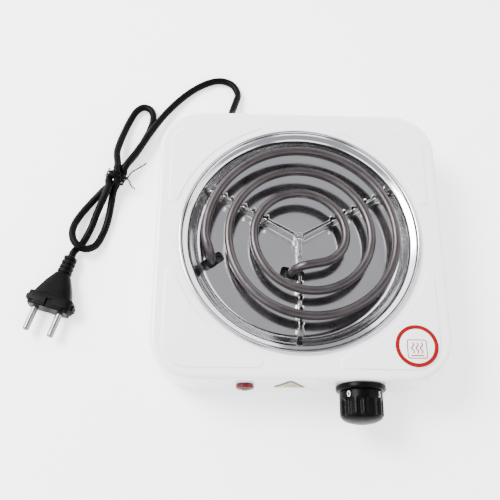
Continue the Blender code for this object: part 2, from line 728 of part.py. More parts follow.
def strip_mesh(name, angle_a, angle_b, dip_a=None, dip_b=None):
    """A strip on edge, folded once in the middle, with one leaf along each of two arms."""
    half = STRIP_SPACING / 2
    directions = [Vector((math.cos(a), math.sin(a))) for a in (angle_a, angle_b)]
    toward = (directions[0] + directions[1]).normalized()
    columns = []
    for arm, (angle, dip) in enumerate(((angle_a, dip_a), (angle_b, dip_b))):
        along = directions[arm]
        side = Vector((-along.y, along.x))
        if side.dot(toward) < 0:
            side.negate()
        leaf = [(along * distance + side * half, low, high)
                for distance, low, high in arm_stations(angle, dip)]
        columns.append(leaf)
    fold = toward * (half * 2 + 0.0018)
    low, high = columns[0][0][1:]
    line = columns[0][::-1] + [(fold, low, high)] + columns[1]
    bm = bmesh.new()
    pairs = [(bm.verts.new((*spot, low)), bm.verts.new((*spot, high))) for spot, low, high in line]
    for (a, b), (c, d) in zip(pairs, pairs[1:]):
        bm.faces.new((a, c, d, b))
    obj = mesh_object(name, bm, STRIP)
    wall = obj.modifiers.new("sheet", "SOLIDIFY")
    wall.thickness = STRIP_WALL
    wall.offset = 0
    return obj


def build_support():
    """Three folded strips whose leaves make the three arms under the element."""
    front, right, left = (math.radians(a) for a in (-90, 30, 150))
    dip_level = COIL_LEVEL - TUBE_RADIUS - 0.0055
    dip = (0.0155, 0.0300, dip_level)
    strip_mesh("support_strip_left", front, left, dip_a=dip)
    strip_mesh("support_strip_right", front, right, dip_a=dip)
    strip_mesh("support_strip_rear", left, right)


# ---------------------------------------------------------------- thermostat and knob
def build_thermostat():
    """Bush, nut, frame, ceramic, bimetal and blades behind the front wall, spindle and knob."""
    axis = (KNOB_X, FRONT, FRONT_AXIS_Z)
    bore = SPINDLE_RADIUS + GAP
    inside = -SHELL_WALL - GAP
    bush_tail = inside - 0.0050
    out = 0.0036
    bush = [
        (bore, out), (BUSH_RADIUS - 0.0005, out), (BUSH_RADIUS, out - 0.0005), (BUSH_RADIUS, inside),
        (0.0090, inside), (0.0090, inside - 0.0012), (0.0046, inside - 0.0012),
        (0.0046, bush_tail), (bore, bush_tail),
    ]
    turned("thermostat_bush", bush, STEEL, axis, FACE_FRONT, steps=24)
    nut_outline = [circle(0.0078, 6), circle(BUSH_RADIUS + GAP, 24)]
    nut_y = FRONT - GAP - 0.0011
    plate("thermostat_nut", nut_outline, 0.0022, (KNOB_X, nut_y, FRONT_AXIS_Z), STEEL, FACE_FRONT)

    knob_axis = bpy.data.objects.new("knob_axis", None)
    knob_axis.location = axis
    knob_axis.rotation_euler = FACE_FRONT
    knob_axis.parent = BODY
    PARTS.objects.link(knob_axis)
    tail = -0.0150
    head = KNOB_LENGTH - 0.0045
    spindle = [
        (0, head), (SPINDLE_RADIUS - 0.0005, head), (SPINDLE_RADIUS, head - 0.0005),
        (SPINDLE_RADIUS, tail), (0, tail),
    ]
    flat_depth = 0.0012
    shaft = turned("thermostat_spindle", spindle, STEEL, steps=20, parent=knob_axis)
    grip = 0.0105
    flat_size = (0.010, 0.004, grip)
    flat_place = (0, SPINDLE_RADIUS - flat_depth + 0.002, head + 0.0005 - grip / 2)
    boolean(shaft, as_cutter(box("spindle_flat", flat_size, flat_place, STEEL, parent=knob_axis)))

    back = KNOB_STANDOFF
    dome = []
    steps = 6
    for step in range(steps):
        angle = math.pi / 2 * step / steps
        dome.append((KNOB_BARREL * math.sin(angle), KNOB_LENGTH + KNOB_DOME * math.cos(angle)))
    skin = 0.0017
    hub = SPINDLE_RADIUS + 0.0022
    hub_start = out + 0.0012
    floor = KNOB_LENGTH - 0.0020
    profile = dome + [
        (KNOB_BARREL, KNOB_LENGTH), (KNOB_BARREL, back + 0.0047), (KNOB_FLANGE - 0.0006, back + 0.0042),
        (KNOB_FLANGE, back + 0.0036), (KNOB_FLANGE, back), (KNOB_BARREL - skin, back),
        (KNOB_BARREL - skin, floor), (hub, floor), (hub, hub_start), (SPINDLE_RADIUS + GAP, hub_start),
        (SPINDLE_RADIUS + GAP, head + GAP), (0, head + GAP),
    ]
    turned("control_knob", profile, BAKELITE, steps=32, parent=knob_axis)

    ceramic_depth = 0.012
    ceramic_y = FRONT - bush_tail + GAP
    ceramic_place = (KNOB_X, ceramic_y + ceramic_depth / 2, FRONT_AXIS_Z)
    ceramic = box("thermostat_ceramic", (0.026, ceramic_depth, 0.018), ceramic_place, CERAMIC)
    cavity = rod("spindle_well", SPINDLE_RADIUS + 0.0010, 0.05, axis, CERAMIC, FACE_FRONT)
    boolean(ceramic, as_cutter(cavity))
    blade_y = ceramic_y + ceramic_depth + GAP
    spring_size = (0.034, 0.0005, 0.0060)
    spring_place = (KNOB_X - 0.003, blade_y + 0.00025, FRONT_AXIS_Z + 0.0048)
    box("thermostat_bimetal", (0.040, 0.0009, 0.0070),
        (KNOB_X - 0.006, blade_y + 0.00045, FRONT_AXIS_Z - 0.0045), BIMETAL)
    box("thermostat_contact_blade", spring_size, spring_place, BRASS)
    clamp = [(0, 0.0012), (0.0030, 0.0012), (0.0034, 0.0006), (0.0034, 0), (0, 0)]
    spots = (("bimetal_rivet", -0.0045, 0.0009), ("blade_rivet", 0.0048, 0.0005))
    for name, dz, wall in spots:
        place = (KNOB_X + 0.0088, blade_y + wall + GAP, FRONT_AXIS_Z + dz)
        turned(name, clamp, BRASS, place, FACE_REAR, steps=12)


# ---------------------------------------------------------------- indicator lamp
def build_lamp():
    """Red lens through the front wall, its push-on clip and the neon bulb inside."""
    place = (LAMP_X, FRONT, FRONT_AXIS_Z)
    stem = LENS_RADIUS - 0.0013
    bore = stem - 0.0012
    lens = [
        (0, LENS_PROUD), (LENS_RADIUS * 0.55, LENS_PROUD - 0.0003), (LENS_RADIUS * 0.88, LENS_PROUD - 0.0011),
        (LENS_RADIUS, LENS_PROUD - 0.0024), (LENS_RADIUS, GAP), (stem, GAP), (stem, -0.0130),
        (bore, -0.0130), (bore, LENS_PROUD - 0.0025), (0, LENS_PROUD - 0.0020),
    ]
    turned("indicator_lens", lens, RED, place, FACE_FRONT, steps=28)
    start = -SHELL_WALL - GAP
    ring = [
        (stem + GAP, start), (stem + 0.0030, start), (stem + 0.0030, start - 0.0008),
        (stem + GAP, start - 0.0008),
    ]
    turned("lens_clip", ring, STEEL, place, FACE_FRONT, steps=20)
    bulb = [
        (0, 0.0008), (0.0014, 0.0002), (0.0022, -0.0014), (0.0022, -0.0110), (0.0014, -0.0126), (0, -0.0130)
    ]
    turned("neon_bulb", bulb, GLASS, place, FACE_FRONT, steps=16)


# ---------------------------------------------------------------- wiring
def build_wiring():
    """Terminal block by the rear wall and the leads between it, the lamp and the element."""
    block_place = Vector((CORD_X, REAR - 0.030, COVER_TOP + GAP + 0.0050))
    box("terminal_block", (0.022, 0.012, 0.010), block_place, CERAMIC)
    outer, inner = coil_feet()
    stud_low = COIL_LEVEL - COIL_DROP - COIL_LEG - 2 * GAP - 0.0070 - GAP
    wire = 0.0011
    rear = block_place.y + 0.0060 + 2 * GAP
    front = block_place.y - 0.0060 - 2 * GAP
    left = block_place.x - 0.0055
    right = block_place.x + 0.0055
    level = block_place.z
    entry = REAR - 0.0075
    for name, x in (("cord_core_live", right), ("cord_core_neutral", left)):
        side = math.copysign(0.0015, x - CORD_X)
        route = [(CORD_X + side, entry, CORD_EXIT_Z), (CORD_X + side, entry - 0.004, CORD_EXIT_Z - 0.0005),
                 (x, rear + 0.004, level), (x, rear, level)]
        tube(name, smooth_path(route, 0.0035), wire, SLEEVE)
    low = stud_low - wire
    routes = {
        "lead_block_to_coil": [
            (left, front, level), (left, front - 0.004, level), (left - 0.004, front - 0.014, level - 0.002),
            (outer.x - 0.010, 0.022, low + 0.001), (outer.x - 0.004, 0.002, low), (outer.x, outer.y, low),
        ],
        "lead_coil_to_thermostat": [
            (inner.x, inner.y, low), (inner.x - 0.001, inner.y - 0.014, low), (0.002, -0.058, 0.0150),
            (0.030, -0.0745, 0.0180), (KNOB_X + 0.006, -0.0795, FRONT_AXIS_Z - 0.0115),
        ],
        "lead_block_to_thermostat": [
            (right, front, level), (right, front - 0.004, level), (right + 0.008, front - 0.014, level),
            (-0.004, 0.020, 0.0150), (0.036, -0.020, 0.0150),
            (0.052, -0.058, 0.0200), (KNOB_X + 0.0125, -0.0785, FRONT_AXIS_Z + 0.0010),
        ],
        "lead_lamp": [
            (LAMP_X, FRONT + 0.0150, FRONT_AXIS_Z), (LAMP_X + 0.003, FRONT + 0.0200, FRONT_AXIS_Z - 0.004),
            (LAMP_X + 0.020, FRONT + 0.0240, 0.0150), (0.006, -0.0840, 0.0140), (0.024, -0.0880, 0.0170),
        ],
    }
    for name, route in routes.items():
        tube(name, smooth_path(route, 0.0065), wire, SLEEVE)


# ---------------------------------------------------------------- mains lead
CORD_SPACING = 0.0100
CORD_LEVEL = CORD_RADIUS + 0.0002      # centre of the lead where it lies on the table
BUNDLE_RADIUS = 0.0041                 # strand centres round the tied bundle's own middle
BUNDLE_HALF = 0.0115                    # half the length over which the strands twist half a turn
TIE_WALL = 0.0011
TIE_HALF = 0.0035
TIE_RADIUS = BUNDLE_RADIUS + CORD_RADIUS + 0.0004
TIE_CENTRE = Vector((-0.1432, 0.0650, TIE_RADIUS + TIE_WALL + 0.0002))
TIE_HEADING = Vector((-0.38, -0.925, 0)).normalized()


def bundle_run(degrees):
    """A strand's points through the tied bundle, from its angle at the end away from the plug."""
    side = Vector((-TIE_HEADING.y, TIE_HEADING.x, 0))
    points = []
    for step in range(5):
        part = step / 4
        angle = math.radians(degrees - 180 * part)
        ring = side * math.cos(angle) + Vector((0, 0, 1)) * math.sin(angle)
        spot = TIE_CENTRE + TIE_HEADING * BUNDLE_HALF * (2 * part - 1) + ring * BUNDLE_RADIUS
        points.append(tuple(spot))
    return points


def cord_points():
    """The lead from the rear wall to the plug: down to the table, then a tied figure of eight."""
    low = CORD_LEVEL
    start = Vector((CORD_X, REAR, CORD_EXIT_Z)) + BOOT_AXIS * (BOOT_LENGTH + GAP)
    return [
        tuple(start),
        tuple(start + BOOT_AXIS * 0.006),
        (-0.0482, 0.1395, 0.0052),
        (-0.0462, 0.1500, low),
        (-0.0505, 0.1592, low),
        (-0.0595, 0.1634, low),
        (-0.0700, 0.1618, low),
        (-0.0825, 0.1547, low),
        (-0.0945, 0.1436, 0.0035),
        (-0.1050, 0.1300, 0.0050),
        (-0.1128, 0.1165, 0.0074),
        (-0.1190, 0.1045, 0.0092),
        (-0.1262, 0.0905, 0.0098),
        *bundle_run(30),
        (-0.1615, 0.0440, 0.0040),
        (-0.1703, 0.0300, 0.0048),
        (-0.1730, 0.0180, 0.0082),
        (-0.1702, 0.0078, 0.0104),
        (-0.1625, 0.0024, 0.0092),
        (-0.1550, 0.0068, 0.0050),
        (-0.1500, 0.0185, low),
        (-0.1468, 0.0320, 0.0038),
        *bundle_run(150)[::-1],
        (-0.1436, 0.0880, 0.0090),
        (-0.1420, 0.1000, 0.0062),
        (-0.1390, 0.1125, 0.0038),
        (-0.1355, 0.1225, low),
        (-0.1312, 0.1310, low),
        (-0.1255, 0.1350, low),
        (-0.1196, 0.1328, low),
        (-0.1170, 0.1265, low),
        (-0.1180, 0.1160, low),
        (-0.1235, 0.1015, low),
        (-0.1302, 0.0880, 0.0036),
        *bundle_run(270),
        (-0.1515, 0.0440, 0.0100),
        (-0.1560, 0.0335, 0.0062),
        (-0.1600, 0.0220, 0.0036),
        (-0.1652, 0.0100, low),
        tuple(PLUG_TOP - PLUG_AXIS * 0.005),
        tuple(PLUG_TOP - PLUG_AXIS * 2 * GAP),
    ]


PLUG_TOP = Vector((-0.1722, -0.0035, 0.0057))     # where the lead enters the plug
PLUG_AXIS = Vector((-0.285, -0.958, 0.050)).normalized()
PLUG_LENGTH = 0.0455                   # lead entry to the pin face
PLUG_HALF_WIDTH = 0.0178
PLUG_HALF_HEIGHT = 0.0074
PLUG_NECK = 0.0050
PIN_SPACING = 0.019
PIN_RADIUS = 0.0024
PIN_LENGTH = 0.019


def build_cord():
    """Strain relief, lead, tie, plug and pins."""
    out = BOOT_LENGTH
    boot = [
        (0, out), (0.0034, out), (0.0038, out - 0.0015), (0.0048, 0.0068), (0.0048, 0.0052), (0.0072, 0.0048),
        (0.0072, 0.0036), (0.0046, 0.0036), (0.0044, -0.0040), (0, -0.0040),
    ]
    bushing = turned("cord_bushing", boot, RUBBER, steps=20)
    tilt = Vector((0, 0, 1)).rotation_difference(BOOT_AXIS).to_matrix().to_4x4()
    bushing.matrix_local = Matrix.Translation((CORD_X, REAR, CORD_EXIT_Z)) @ tilt
    route = smooth_path(cord_points(), CORD_SPACING)
    tube("power_cord", route, CORD_RADIUS, PVC)
    outer = TIE_RADIUS + TIE_WALL
    band = [(TIE_RADIUS, TIE_HALF), (outer, TIE_HALF), (outer, -TIE_HALF), (TIE_RADIUS, -TIE_HALF)]
    turn = math.atan2(TIE_HEADING.y, TIE_HEADING.x)
    turned("cord_tie", band, PVC, TIE_CENTRE, (math.pi / 2, 0, turn + math.pi / 2), steps=20)


def superellipse(half_x, half_y, power, count=24):
    """Points of a rounded rectangle-like section."""
    points = []
    for step in range(count):
        angle = 2 * math.pi * (step + 0.5) / count
        c = math.cos(angle)
        s = math.sin(angle)
        points.append((
            half_x * math.copysign(abs(c) ** (2 / power), c),
            half_y * math.copysign(abs(s) ** (2 / power), s),
        ))
    return points


def loft(name, sections, material, matrix):
    """A closed body through sections of (distance along Z, outline points)."""
    bm = bmesh.new()
    rings = [[bm.verts.new((x, y, z)) for x, y in outline] for z, outline in sections]
    for lower, upper in zip(rings, rings[1:]):
        for index in range(len(lower)):
            after = (index + 1) % len(lower)
            bm.faces.new((lower[index], lower[after], upper[after], upper[index]))
    bm.faces.new(rings[0][::-1])
    bm.faces.new(rings[-1])
    obj = mesh_object(name, bm, material)
    obj.matrix_local = matrix
    return obj


def plug_frame():
    """Local +Z along the plug from the lead to the pins, local X across its width."""
    across = Vector((0, 0, 1)).cross(PLUG_AXIS).normalized()
    up = PLUG_AXIS.cross(across)
    turn = Matrix((across, up, PLUG_AXIS)).transposed().to_4x4()
    return Matrix.Translation(PLUG_TOP) @ turn


def build_plug():
    """Moulded two-pin plug lying on the table, with its ribbed neck, and its pins."""
    wide = PLUG_HALF_WIDTH
    high = PLUG_HALF_HEIGHT
    neck = PLUG_NECK
    end = PLUG_LENGTH
    stages = [
        (0.0, neck * 0.86, neck * 0.86, 2), (0.0012, neck, neck, 2), (0.0165, neck * 1.06, neck * 1.06, 2),
        (0.0195, neck * 1.5, neck * 1.1, 2.4), (end - 0.0105, wide * 0.90, high * 0.95, 4),
        (end - 0.0092, wide * 0.92, high, 5), (end - 0.0080, wide * 1.02, high, 5),
        (end - 0.0030, wide * 1.04, high, 5), (end - 0.0022, wide * 0.98, high * 0.98, 5),
        (end, wide * 0.94, high * 0.94, 5),
    ]
    frame = plug_frame()
    sections = [(z, superellipse(hx, hy, power)) for z, hx, hy, power in stages]
    plug = loft("plug_body", sections, PVC, frame)
    for side in (1, -1):
        notch = as_cutter(box("plug_notch", (0.0046, 0.0060, 0.0140), (0, 0, 0), PVC))
        notch.matrix_local = frame @ Matrix.Translation((0, side * (high + 0.0006), end))
        boolean(plug, notch)
    tip = PIN_LENGTH
    pin = [
        (0, tip), (PIN_RADIUS * 0.55, tip - 0.0003), (PIN_RADIUS * 0.9, tip - 0.0010),
        (PIN_RADIUS, tip - 0.0020), (PIN_RADIUS, GAP), (0, GAP),
    ]
    for name, side in (("left", -1), ("right", 1)):
        obj = turned("plug_pin_" + name, pin, STEEL, steps=16)
        obj.matrix_local = frame @ Matrix.Translation((side * PIN_SPACING / 2, 0, end))


def build_labels():
    """The round and the triangular label, thin plastic on the enamel."""
    disc_place = (LABEL_X, LABEL_Y, TOP_FACE + PAD_HEIGHT + GAP + LABEL_WALL / 2)
    plate("round_label", [circle(LABEL_RADIUS, 40)], LABEL_WALL, disc_place, LABEL_RED)
    half = TRIANGLE_SIDE / 2
    low = -TRIANGLE_SIDE / math.sqrt(12)
    corners = [(-half, low, 0.0022), (half, low, 0.0022), (0, low + half * math.sqrt(3), 0.0022)]
    place = (TRIANGLE_X, FRONT - GAP - LABEL_WALL / 2, TRIANGLE_Z)
    plate("triangle_label", [rounded(corners, 3)], LABEL_WALL, place, LABEL_YELLOW, FACE_FRONT)


build_shell()
build_bottom_cover()
build_feet()
build_pan()
build_element()
build_support()
build_thermostat()
build_lamp()
build_wiring()
build_cord()
build_plug()
build_labels()
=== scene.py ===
import json
import math

import bmesh
import bpy
from mathutils import Matrix, Vector


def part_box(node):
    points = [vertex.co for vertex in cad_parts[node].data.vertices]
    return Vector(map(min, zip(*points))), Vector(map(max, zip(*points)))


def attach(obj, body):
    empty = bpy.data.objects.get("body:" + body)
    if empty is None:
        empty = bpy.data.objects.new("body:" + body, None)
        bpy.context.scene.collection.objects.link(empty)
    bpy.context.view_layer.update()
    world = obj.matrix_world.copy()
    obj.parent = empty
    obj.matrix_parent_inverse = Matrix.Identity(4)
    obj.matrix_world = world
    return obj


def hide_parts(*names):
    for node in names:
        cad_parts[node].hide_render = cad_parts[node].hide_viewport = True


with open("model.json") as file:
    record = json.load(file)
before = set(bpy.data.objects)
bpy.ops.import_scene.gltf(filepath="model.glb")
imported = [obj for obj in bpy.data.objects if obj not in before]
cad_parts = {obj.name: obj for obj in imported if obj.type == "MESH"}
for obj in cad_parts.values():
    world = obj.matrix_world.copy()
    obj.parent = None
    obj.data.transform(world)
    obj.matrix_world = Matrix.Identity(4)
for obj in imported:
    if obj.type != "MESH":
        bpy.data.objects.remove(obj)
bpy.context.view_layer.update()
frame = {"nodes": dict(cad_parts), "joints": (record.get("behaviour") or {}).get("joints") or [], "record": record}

# ------------------------------------------------------------ levels and places from the CAD model
shell_low, shell_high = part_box("top_shell")
pan_low, pan_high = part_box("drip_pan")
lens_low, lens_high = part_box("indicator_lens")
label_low, label_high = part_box("round_label")
triangle_low, triangle_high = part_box("triangle_label")

MID = (shell_low + shell_high) / 2
BODY = Matrix.Translation((MID.x, MID.y, 0))
HALF_X = (shell_high.x - shell_low.x) / 2
HALF_Y = (shell_high.y - shell_low.y) / 2
GAP = 0.0003
PAD_HEIGHT = 0.0008
TOP = shell_high.z - PAD_HEIGHT
BOTTOM = shell_low.z
WALL = 0.0008
CORNER = 0.032
EDGE = 0.0035
PAN_FLOOR = pan_low.z + 0.0006
PAN_RADIUS = 0.088
PAN_ROLL = 0.0024
FLOOR_RADIUS = PAN_RADIUS - 0.0175
TUBE_RADIUS = 0.00325
COIL_LEVEL = PAN_FLOOR + 0.0130
FRONT = -HALF_Y
KNOB_AXIS = Vector(frame["joints"][0]["pos_m"])
LAMP_AXIS = Vector(((lens_low.x + lens_high.x) / 2, shell_low.y, (lens_low.z + lens_high.z) / 2))
FACE_FRONT = Matrix.Rotation(math.pi / 2, 4, "X")


# ------------------------------------------------------------ materials
LOOKS = {}


def finish(name, colour, roughness, metallic=0.0, rough=None, tint=None, bumps=(), **sockets):
    """A Principled material whose colour, roughness and relief vary by noise in the piece's space.

    rough is (scale, amount), tint is (scale, amount, other colour) and each bump is
    (scale, strength, height in metres).
    """
    material = LOOKS[name] = bpy.data.materials.new(name)
    material.use_nodes = True
    tree = material.node_tree
    shader = tree.nodes["Principled BSDF"]

    def fill(node, **values):
        for socket, value in values.items():
            node.inputs[socket.replace("_", " ")].default_value = value
        return node

    def add(kind, **values):
        return fill(tree.nodes.new("ShaderNode" + kind), **values)

    fill(shader, Base_Color=(*colour, 1.0), Roughness=roughness, Metallic=metallic, **sockets)
    spots = add("TexCoord").outputs["Object"]

    def grain(scale, detail=3.0):
        noise = add("TexNoise", Scale=scale, Detail=detail)
        tree.links.new(spots, noise.inputs["Vector"])
        return noise.outputs["Fac"]

    if rough:
        spread = add("MapRange", From_Min=0.3, From_Max=0.7,
                     To_Min=max(0.0, roughness - rough[1]), To_Max=roughness + rough[1])
        tree.links.new(grain(rough[0]), spread.inputs["Value"])
        tree.links.new(spread.outputs["Result"], shader.inputs["Roughness"])
    if tint:
        mix = add("Mix")
        mix.data_type = "RGBA"
        fill(mix, A=(*colour, 1.0), B=(*tint[2], 1.0))
        share = add("MapRange", From_Min=0.35, From_Max=0.65, To_Max=tint[1])
        tree.links.new(grain(tint[0], 4.0), share.inputs["Value"])
        tree.links.new(share.outputs["Result"], mix.inputs["Factor"])
        tree.links.new(mix.outputs["Result"], shader.inputs["Base Color"])
    below = None
    for scale, strength, height in bumps:
        bump = add("Bump", Strength=strength, Distance=height)
        tree.links.new(grain(scale), bump.inputs["Height"])
        if below:
            tree.links.new(below.outputs["Normal"], bump.inputs["Normal"])
        below = bump
    if below:
        tree.links.new(below.outputs["Normal"], shader.inputs["Normal"])
    return material


ENAMEL = finish(
    "white_enamel", (0.88, 0.88, 0.915), 0.26, rough=(38, 0.05), tint=(14, 0.5, (0.85, 0.855, 0.895)),
    bumps=[(260, 0.05, 0.0002)], Coat_Weight=0.35, Coat_Roughness=0.12,
)
CHROME = finish(
    "chrome_pan", (0.56, 0.555, 0.575), 0.13, 1.0, rough=(55, 0.04), tint=(30, 0.6, (0.50, 0.495, 0.52)),
    bumps=[(26, 0.02, 0.0010)],
)
SHEATH = finish(
    "element_sheath", (0.042, 0.036, 0.038), 0.34, 0.80, rough=(120, 0.07),
    tint=(46, 0.8, (0.064, 0.055, 0.057)), bumps=[(900, 0.08, 0.0001), (3200, 0.10, 0.0001)],
)
PLATED = finish(
    "plated_strip", (0.72, 0.715, 0.70), 0.20, 1.0, rough=(140, 0.09), tint=(90, 0.6, (0.60, 0.59, 0.57)),
    bumps=[(180, 0.12, 0.0003)],
)
KNOB_BLACK = finish(
    "black_knob", (0.0009, 0.0009, 0.0011), 0.30, rough=(210, 0.07), tint=(70, 0.6, (0.0018, 0.0017, 0.0020)),
    bumps=[(1500, 0.06, 0.0001)], Specular_IOR_Level=0.05,
)
PVC = finish(
    "black_pvc", (0.0009, 0.0009, 0.0010), 0.40, rough=(160, 0.07), tint=(60, 0.6, (0.0018, 0.0018, 0.0019)),
    bumps=[(1300, 0.10, 0.0001)], Specular_IOR_Level=0.05,
)
RUBBER = finish(
    "black_rubber", (0.0040, 0.0040, 0.0041), 0.70, rough=(200, 0.08),
    tint=(90, 0.6, (0.0070, 0.0070, 0.0070)), bumps=[(1100, 0.20, 0.0001)], Specular_IOR_Level=0.1,
)
PIN = finish(
    "nickel_pin", (0.22, 0.207, 0.200), 0.28, 1.0, rough=(300, 0.08), tint=(160, 0.6, (0.16, 0.148, 0.142)),
    bumps=[(900, 0.06, 0.0001)],
)
finish(
    "zinc_steel", (0.56, 0.57, 0.575), 0.38, 1.0, rough=(60, 0.09), tint=(26, 0.8, (0.47, 0.48, 0.49)),
    bumps=[(500, 0.06, 0.0001)],
)
finish(
    "blackened_steel", (0.018, 0.018, 0.019), 0.62, rough=(90, 0.08), tint=(60, 0.7, (0.030, 0.029, 0.028)),
    bumps=[(600, 0.10, 0.0001)],
)
finish(
    "brass", (0.66, 0.47, 0.20), 0.30, 1.0, rough=(200, 0.08), tint=(120, 0.7, (0.50, 0.34, 0.14)),
    bumps=[(700, 0.06, 0.0001)],
)
finish(
    "bimetal", (0.62, 0.56, 0.46), 0.34, 1.0, rough=(180, 0.08), tint=(110, 0.7, (0.48, 0.42, 0.36)),
    bumps=[(600, 0.06, 0.0001)],
)
finish(
    "steatite", (0.78, 0.74, 0.64), 0.62, rough=(240, 0.08), tint=(130, 0.7, (0.70, 0.65, 0.54)),
    bumps=[(1400, 0.15, 0.0001)],
)
finish(
    "glass_fibre_sleeve", (0.80, 0.77, 0.69), 0.85, rough=(600, 0.06), tint=(900, 0.8, (0.66, 0.62, 0.53)),
    bumps=[(2600, 0.45, 0.0002)],
)
LAMP_RED = finish(
    "red_lens", (0.12, 0.0006, 0.003), 0.16, rough=(300, 0.05), tint=(120, 0.5, (0.09, 0.0006, 0.002)),
    bumps=[(900, 0.05, 0.0001)], Transmission_Weight=0.15, IOR=1.49, Specular_IOR_Level=0.3,
)
# Near-black red for the disc laid on the middle of the lens face.
DARK_LENS_DISC = finish(
    "lamp_core", (0.020, 0.0015, 0.002), 0.30, rough=(300, 0.06), tint=(200, 0.6, (0.05, 0.003, 0.004)),
    bumps=[(700, 0.05, 0.0001)],
)
finish(
    "lamp_glass", (0.95, 0.84, 0.74), 0.05, rough=(200, 0.03), tint=(150, 0.5, (0.90, 0.78, 0.68)),
    bumps=[(400, 0.03, 0.0001)], Transmission_Weight=0.9, IOR=1.5,
)
LABEL_WHITE = finish(
    "label_white", (0.82, 0.82, 0.84), 0.32, rough=(150, 0.05), tint=(60, 0.5, (0.79, 0.79, 0.82)),
    bumps=[(500, 0.04, 0.0001)],
)
LABEL_RED = finish(
    "label_red", (0.20, 0.0010, 0.0018), 0.45, rough=(150, 0.05), tint=(220, 0.5, (0.17, 0.0012, 0.0018)),
    bumps=[(500, 0.04, 0.0001)], Specular_IOR_Level=0.1,
)
LABEL_YELLOW = finish(
    "label_yellow", (0.36, 0.27, 0.075), 0.36, rough=(150, 0.05), tint=(140, 0.6, (0.32, 0.24, 0.065)),
    bumps=[(500, 0.04, 0.0001)],
)
LABEL_GREY = finish(
    "label_grey", (0.010, 0.009, 0.007), 0.38, rough=(150, 0.05), tint=(140, 0.6, (0.025, 0.023, 0.019)),
    bumps=[(500, 0.04, 0.0001)],
)
DIAL_WHITE = finish(
    "dial_white", (0.72, 0.72, 0.72), 0.45, rough=(300, 0.06), tint=(500, 0.5, (0.62, 0.62, 0.62)),
    bumps=[(1200, 0.05, 0.0001)],
)
FLOOR = finish(
    "pale_floor", (0.95, 0.95, 0.95), 0.60, rough=(6, 0.05), tint=(3, 0.4, (0.93, 0.93, 0.935)),
    Emission_Color=(1.0, 1.0, 1.0, 1.0), Emission_Strength=1.1, Specular_IOR_Level=0.1,
)


# ------------------------------------------------------------ building blocks
def place(name, bm, material, matrix=BODY, sharp=38):
    """A new smooth-shaded piece from a bmesh, moved by matrix into the row frame."""
    bmesh.ops.remove_doubles(bm, verts=bm.verts, dist=1e-6)
    bmesh.ops.recalc_face_normals(bm, faces=bm.faces)
    mesh = bpy.data.meshes.new(name)
    bm.to_mesh(mesh)
    bm.free()
    mesh.transform(matrix)
    mesh.materials.append(material)
    obj = bpy.data.objects.new(name, mesh)
    bpy.context.scene.collection.objects.link(obj)
    smooth(obj, sharp)
    return obj


def smooth(obj, sharp=38):
    """Smooth shading with edges sharper than the given angle kept."""
    obj.data.shade_smooth()
    obj.data.set_sharp_from_angle(angle=math.radians(sharp))


def applied(obj, sharp=38):
    """The piece with its modifiers worked into the mesh."""
    graph = bpy.context.evaluated_depsgraph_get()
    mesh = bpy.data.meshes.new_from_object(obj.evaluated_get(graph))
    obj.modifiers.clear()
    obj.data = mesh
    smooth(obj, sharp)
    return obj


def cut(obj, tools, sharp=38):
    """Cut the tools out of the piece and remove them."""
    for tool in tools:
        step = obj.modifiers.new("cut", "BOOLEAN")
        step.operation = "DIFFERENCE"
        step.solver = "EXACT"
        step.object = tool
    bpy.context.view_layer.update()
    applied(obj, sharp)
    for tool in tools:
        bpy.data.objects.remove(tool)
    return obj


def arc(x, z, radius, start, end, count):
    """Points of an arc in a profile, angles in degrees."""
    points = []
    for step in range(count + 1):
        angle = math.radians(start + (end - start) * step / count)
        points.append((x + radius * math.cos(angle), z + radius * math.sin(angle)))
    return points


def lathe(name, profile, material, matrix=BODY, steps=96, shape=None, closed=False, sharp=38):
    """A turned piece. shape(angle, radius, z) gives the radius and z where it isn't round."""
    bm = bmesh.new()
    rings = []
    for radius, z in profile:
        if radius < 1e-7:
            rings.append([bm.verts.new((0, 0, z))])
            continue
        ring = []
        for step in range(steps):
            angle = 2 * math.pi * step / steps
            r, h = shape(angle, radius, z) if shape else (radius, z)
            ring.append(bm.verts.new((r * math.sin(angle), r * math.cos(angle), h)))
        rings.append(ring)
    pairs = list(zip(rings, rings[1:]))
    if closed:
        pairs.append((rings[-1], rings[0]))
    for lower, upper in pairs:
        for step in range(steps):
            after = (step + 1) % steps
            corners = [lower[step % len(lower)], lower[after % len(lower)],
                       upper[after % len(upper)], upper[step % len(upper)]]
            unique = list(dict.fromkeys(corners))
            if len(unique) > 2:
                bm.faces.new(unique)
    return place(name, bm, material, matrix, sharp)


def spline(points, per_span=10):
    """Points on the smooth curve through the given points."""
    fine = []
    last = len(points) - 1
    for index in range(last):
        a = Vector(points[max(index - 1, 0)])
        b = Vector(points[index])
        c = Vector(points[index + 1])
        d = Vector(points[min(index + 2, last)])
        for step in range(per_span):
            t = step / per_span
            fine.append(0.5 * (2 * b + (c - a) * t + (2 * a - 5 * b + 4 * c - d) * t**2
                               + (3 * b - a - 3 * c + d) * t**3))
    fine.append(Vector(points[last]))
    return fine


def sweep(name, points, radius, material, sides=20):
    """A tube of one radius along the points, with flat ends."""
    bm = bmesh.new()
    points = [Vector(point) for point in points]
    last = len(points) - 1
    normal = None
    rings = []
    for index, point in enumerate(points):
        along = (points[min(index + 1, last)] - points[max(index - 1, 0)]).normalized()
        if normal is None:
            start = Vector((0, 0, 1)) if abs(along.z) < 0.9 else Vector((1, 0, 0))
            normal = along.cross(start).normalized()
        normal = (normal - along * normal.dot(along)).normalized()
        other = along.cross(normal)
        ring = []
        for side in range(sides):
            angle = 2 * math.pi * side / sides
            around = normal * radius * math.cos(angle) + other * radius * math.sin(angle)
            ring.append(bm.verts.new(point + around))
        rings.append(ring)
    skin(bm, rings)
    return place(name, bm, material, BODY, 50)


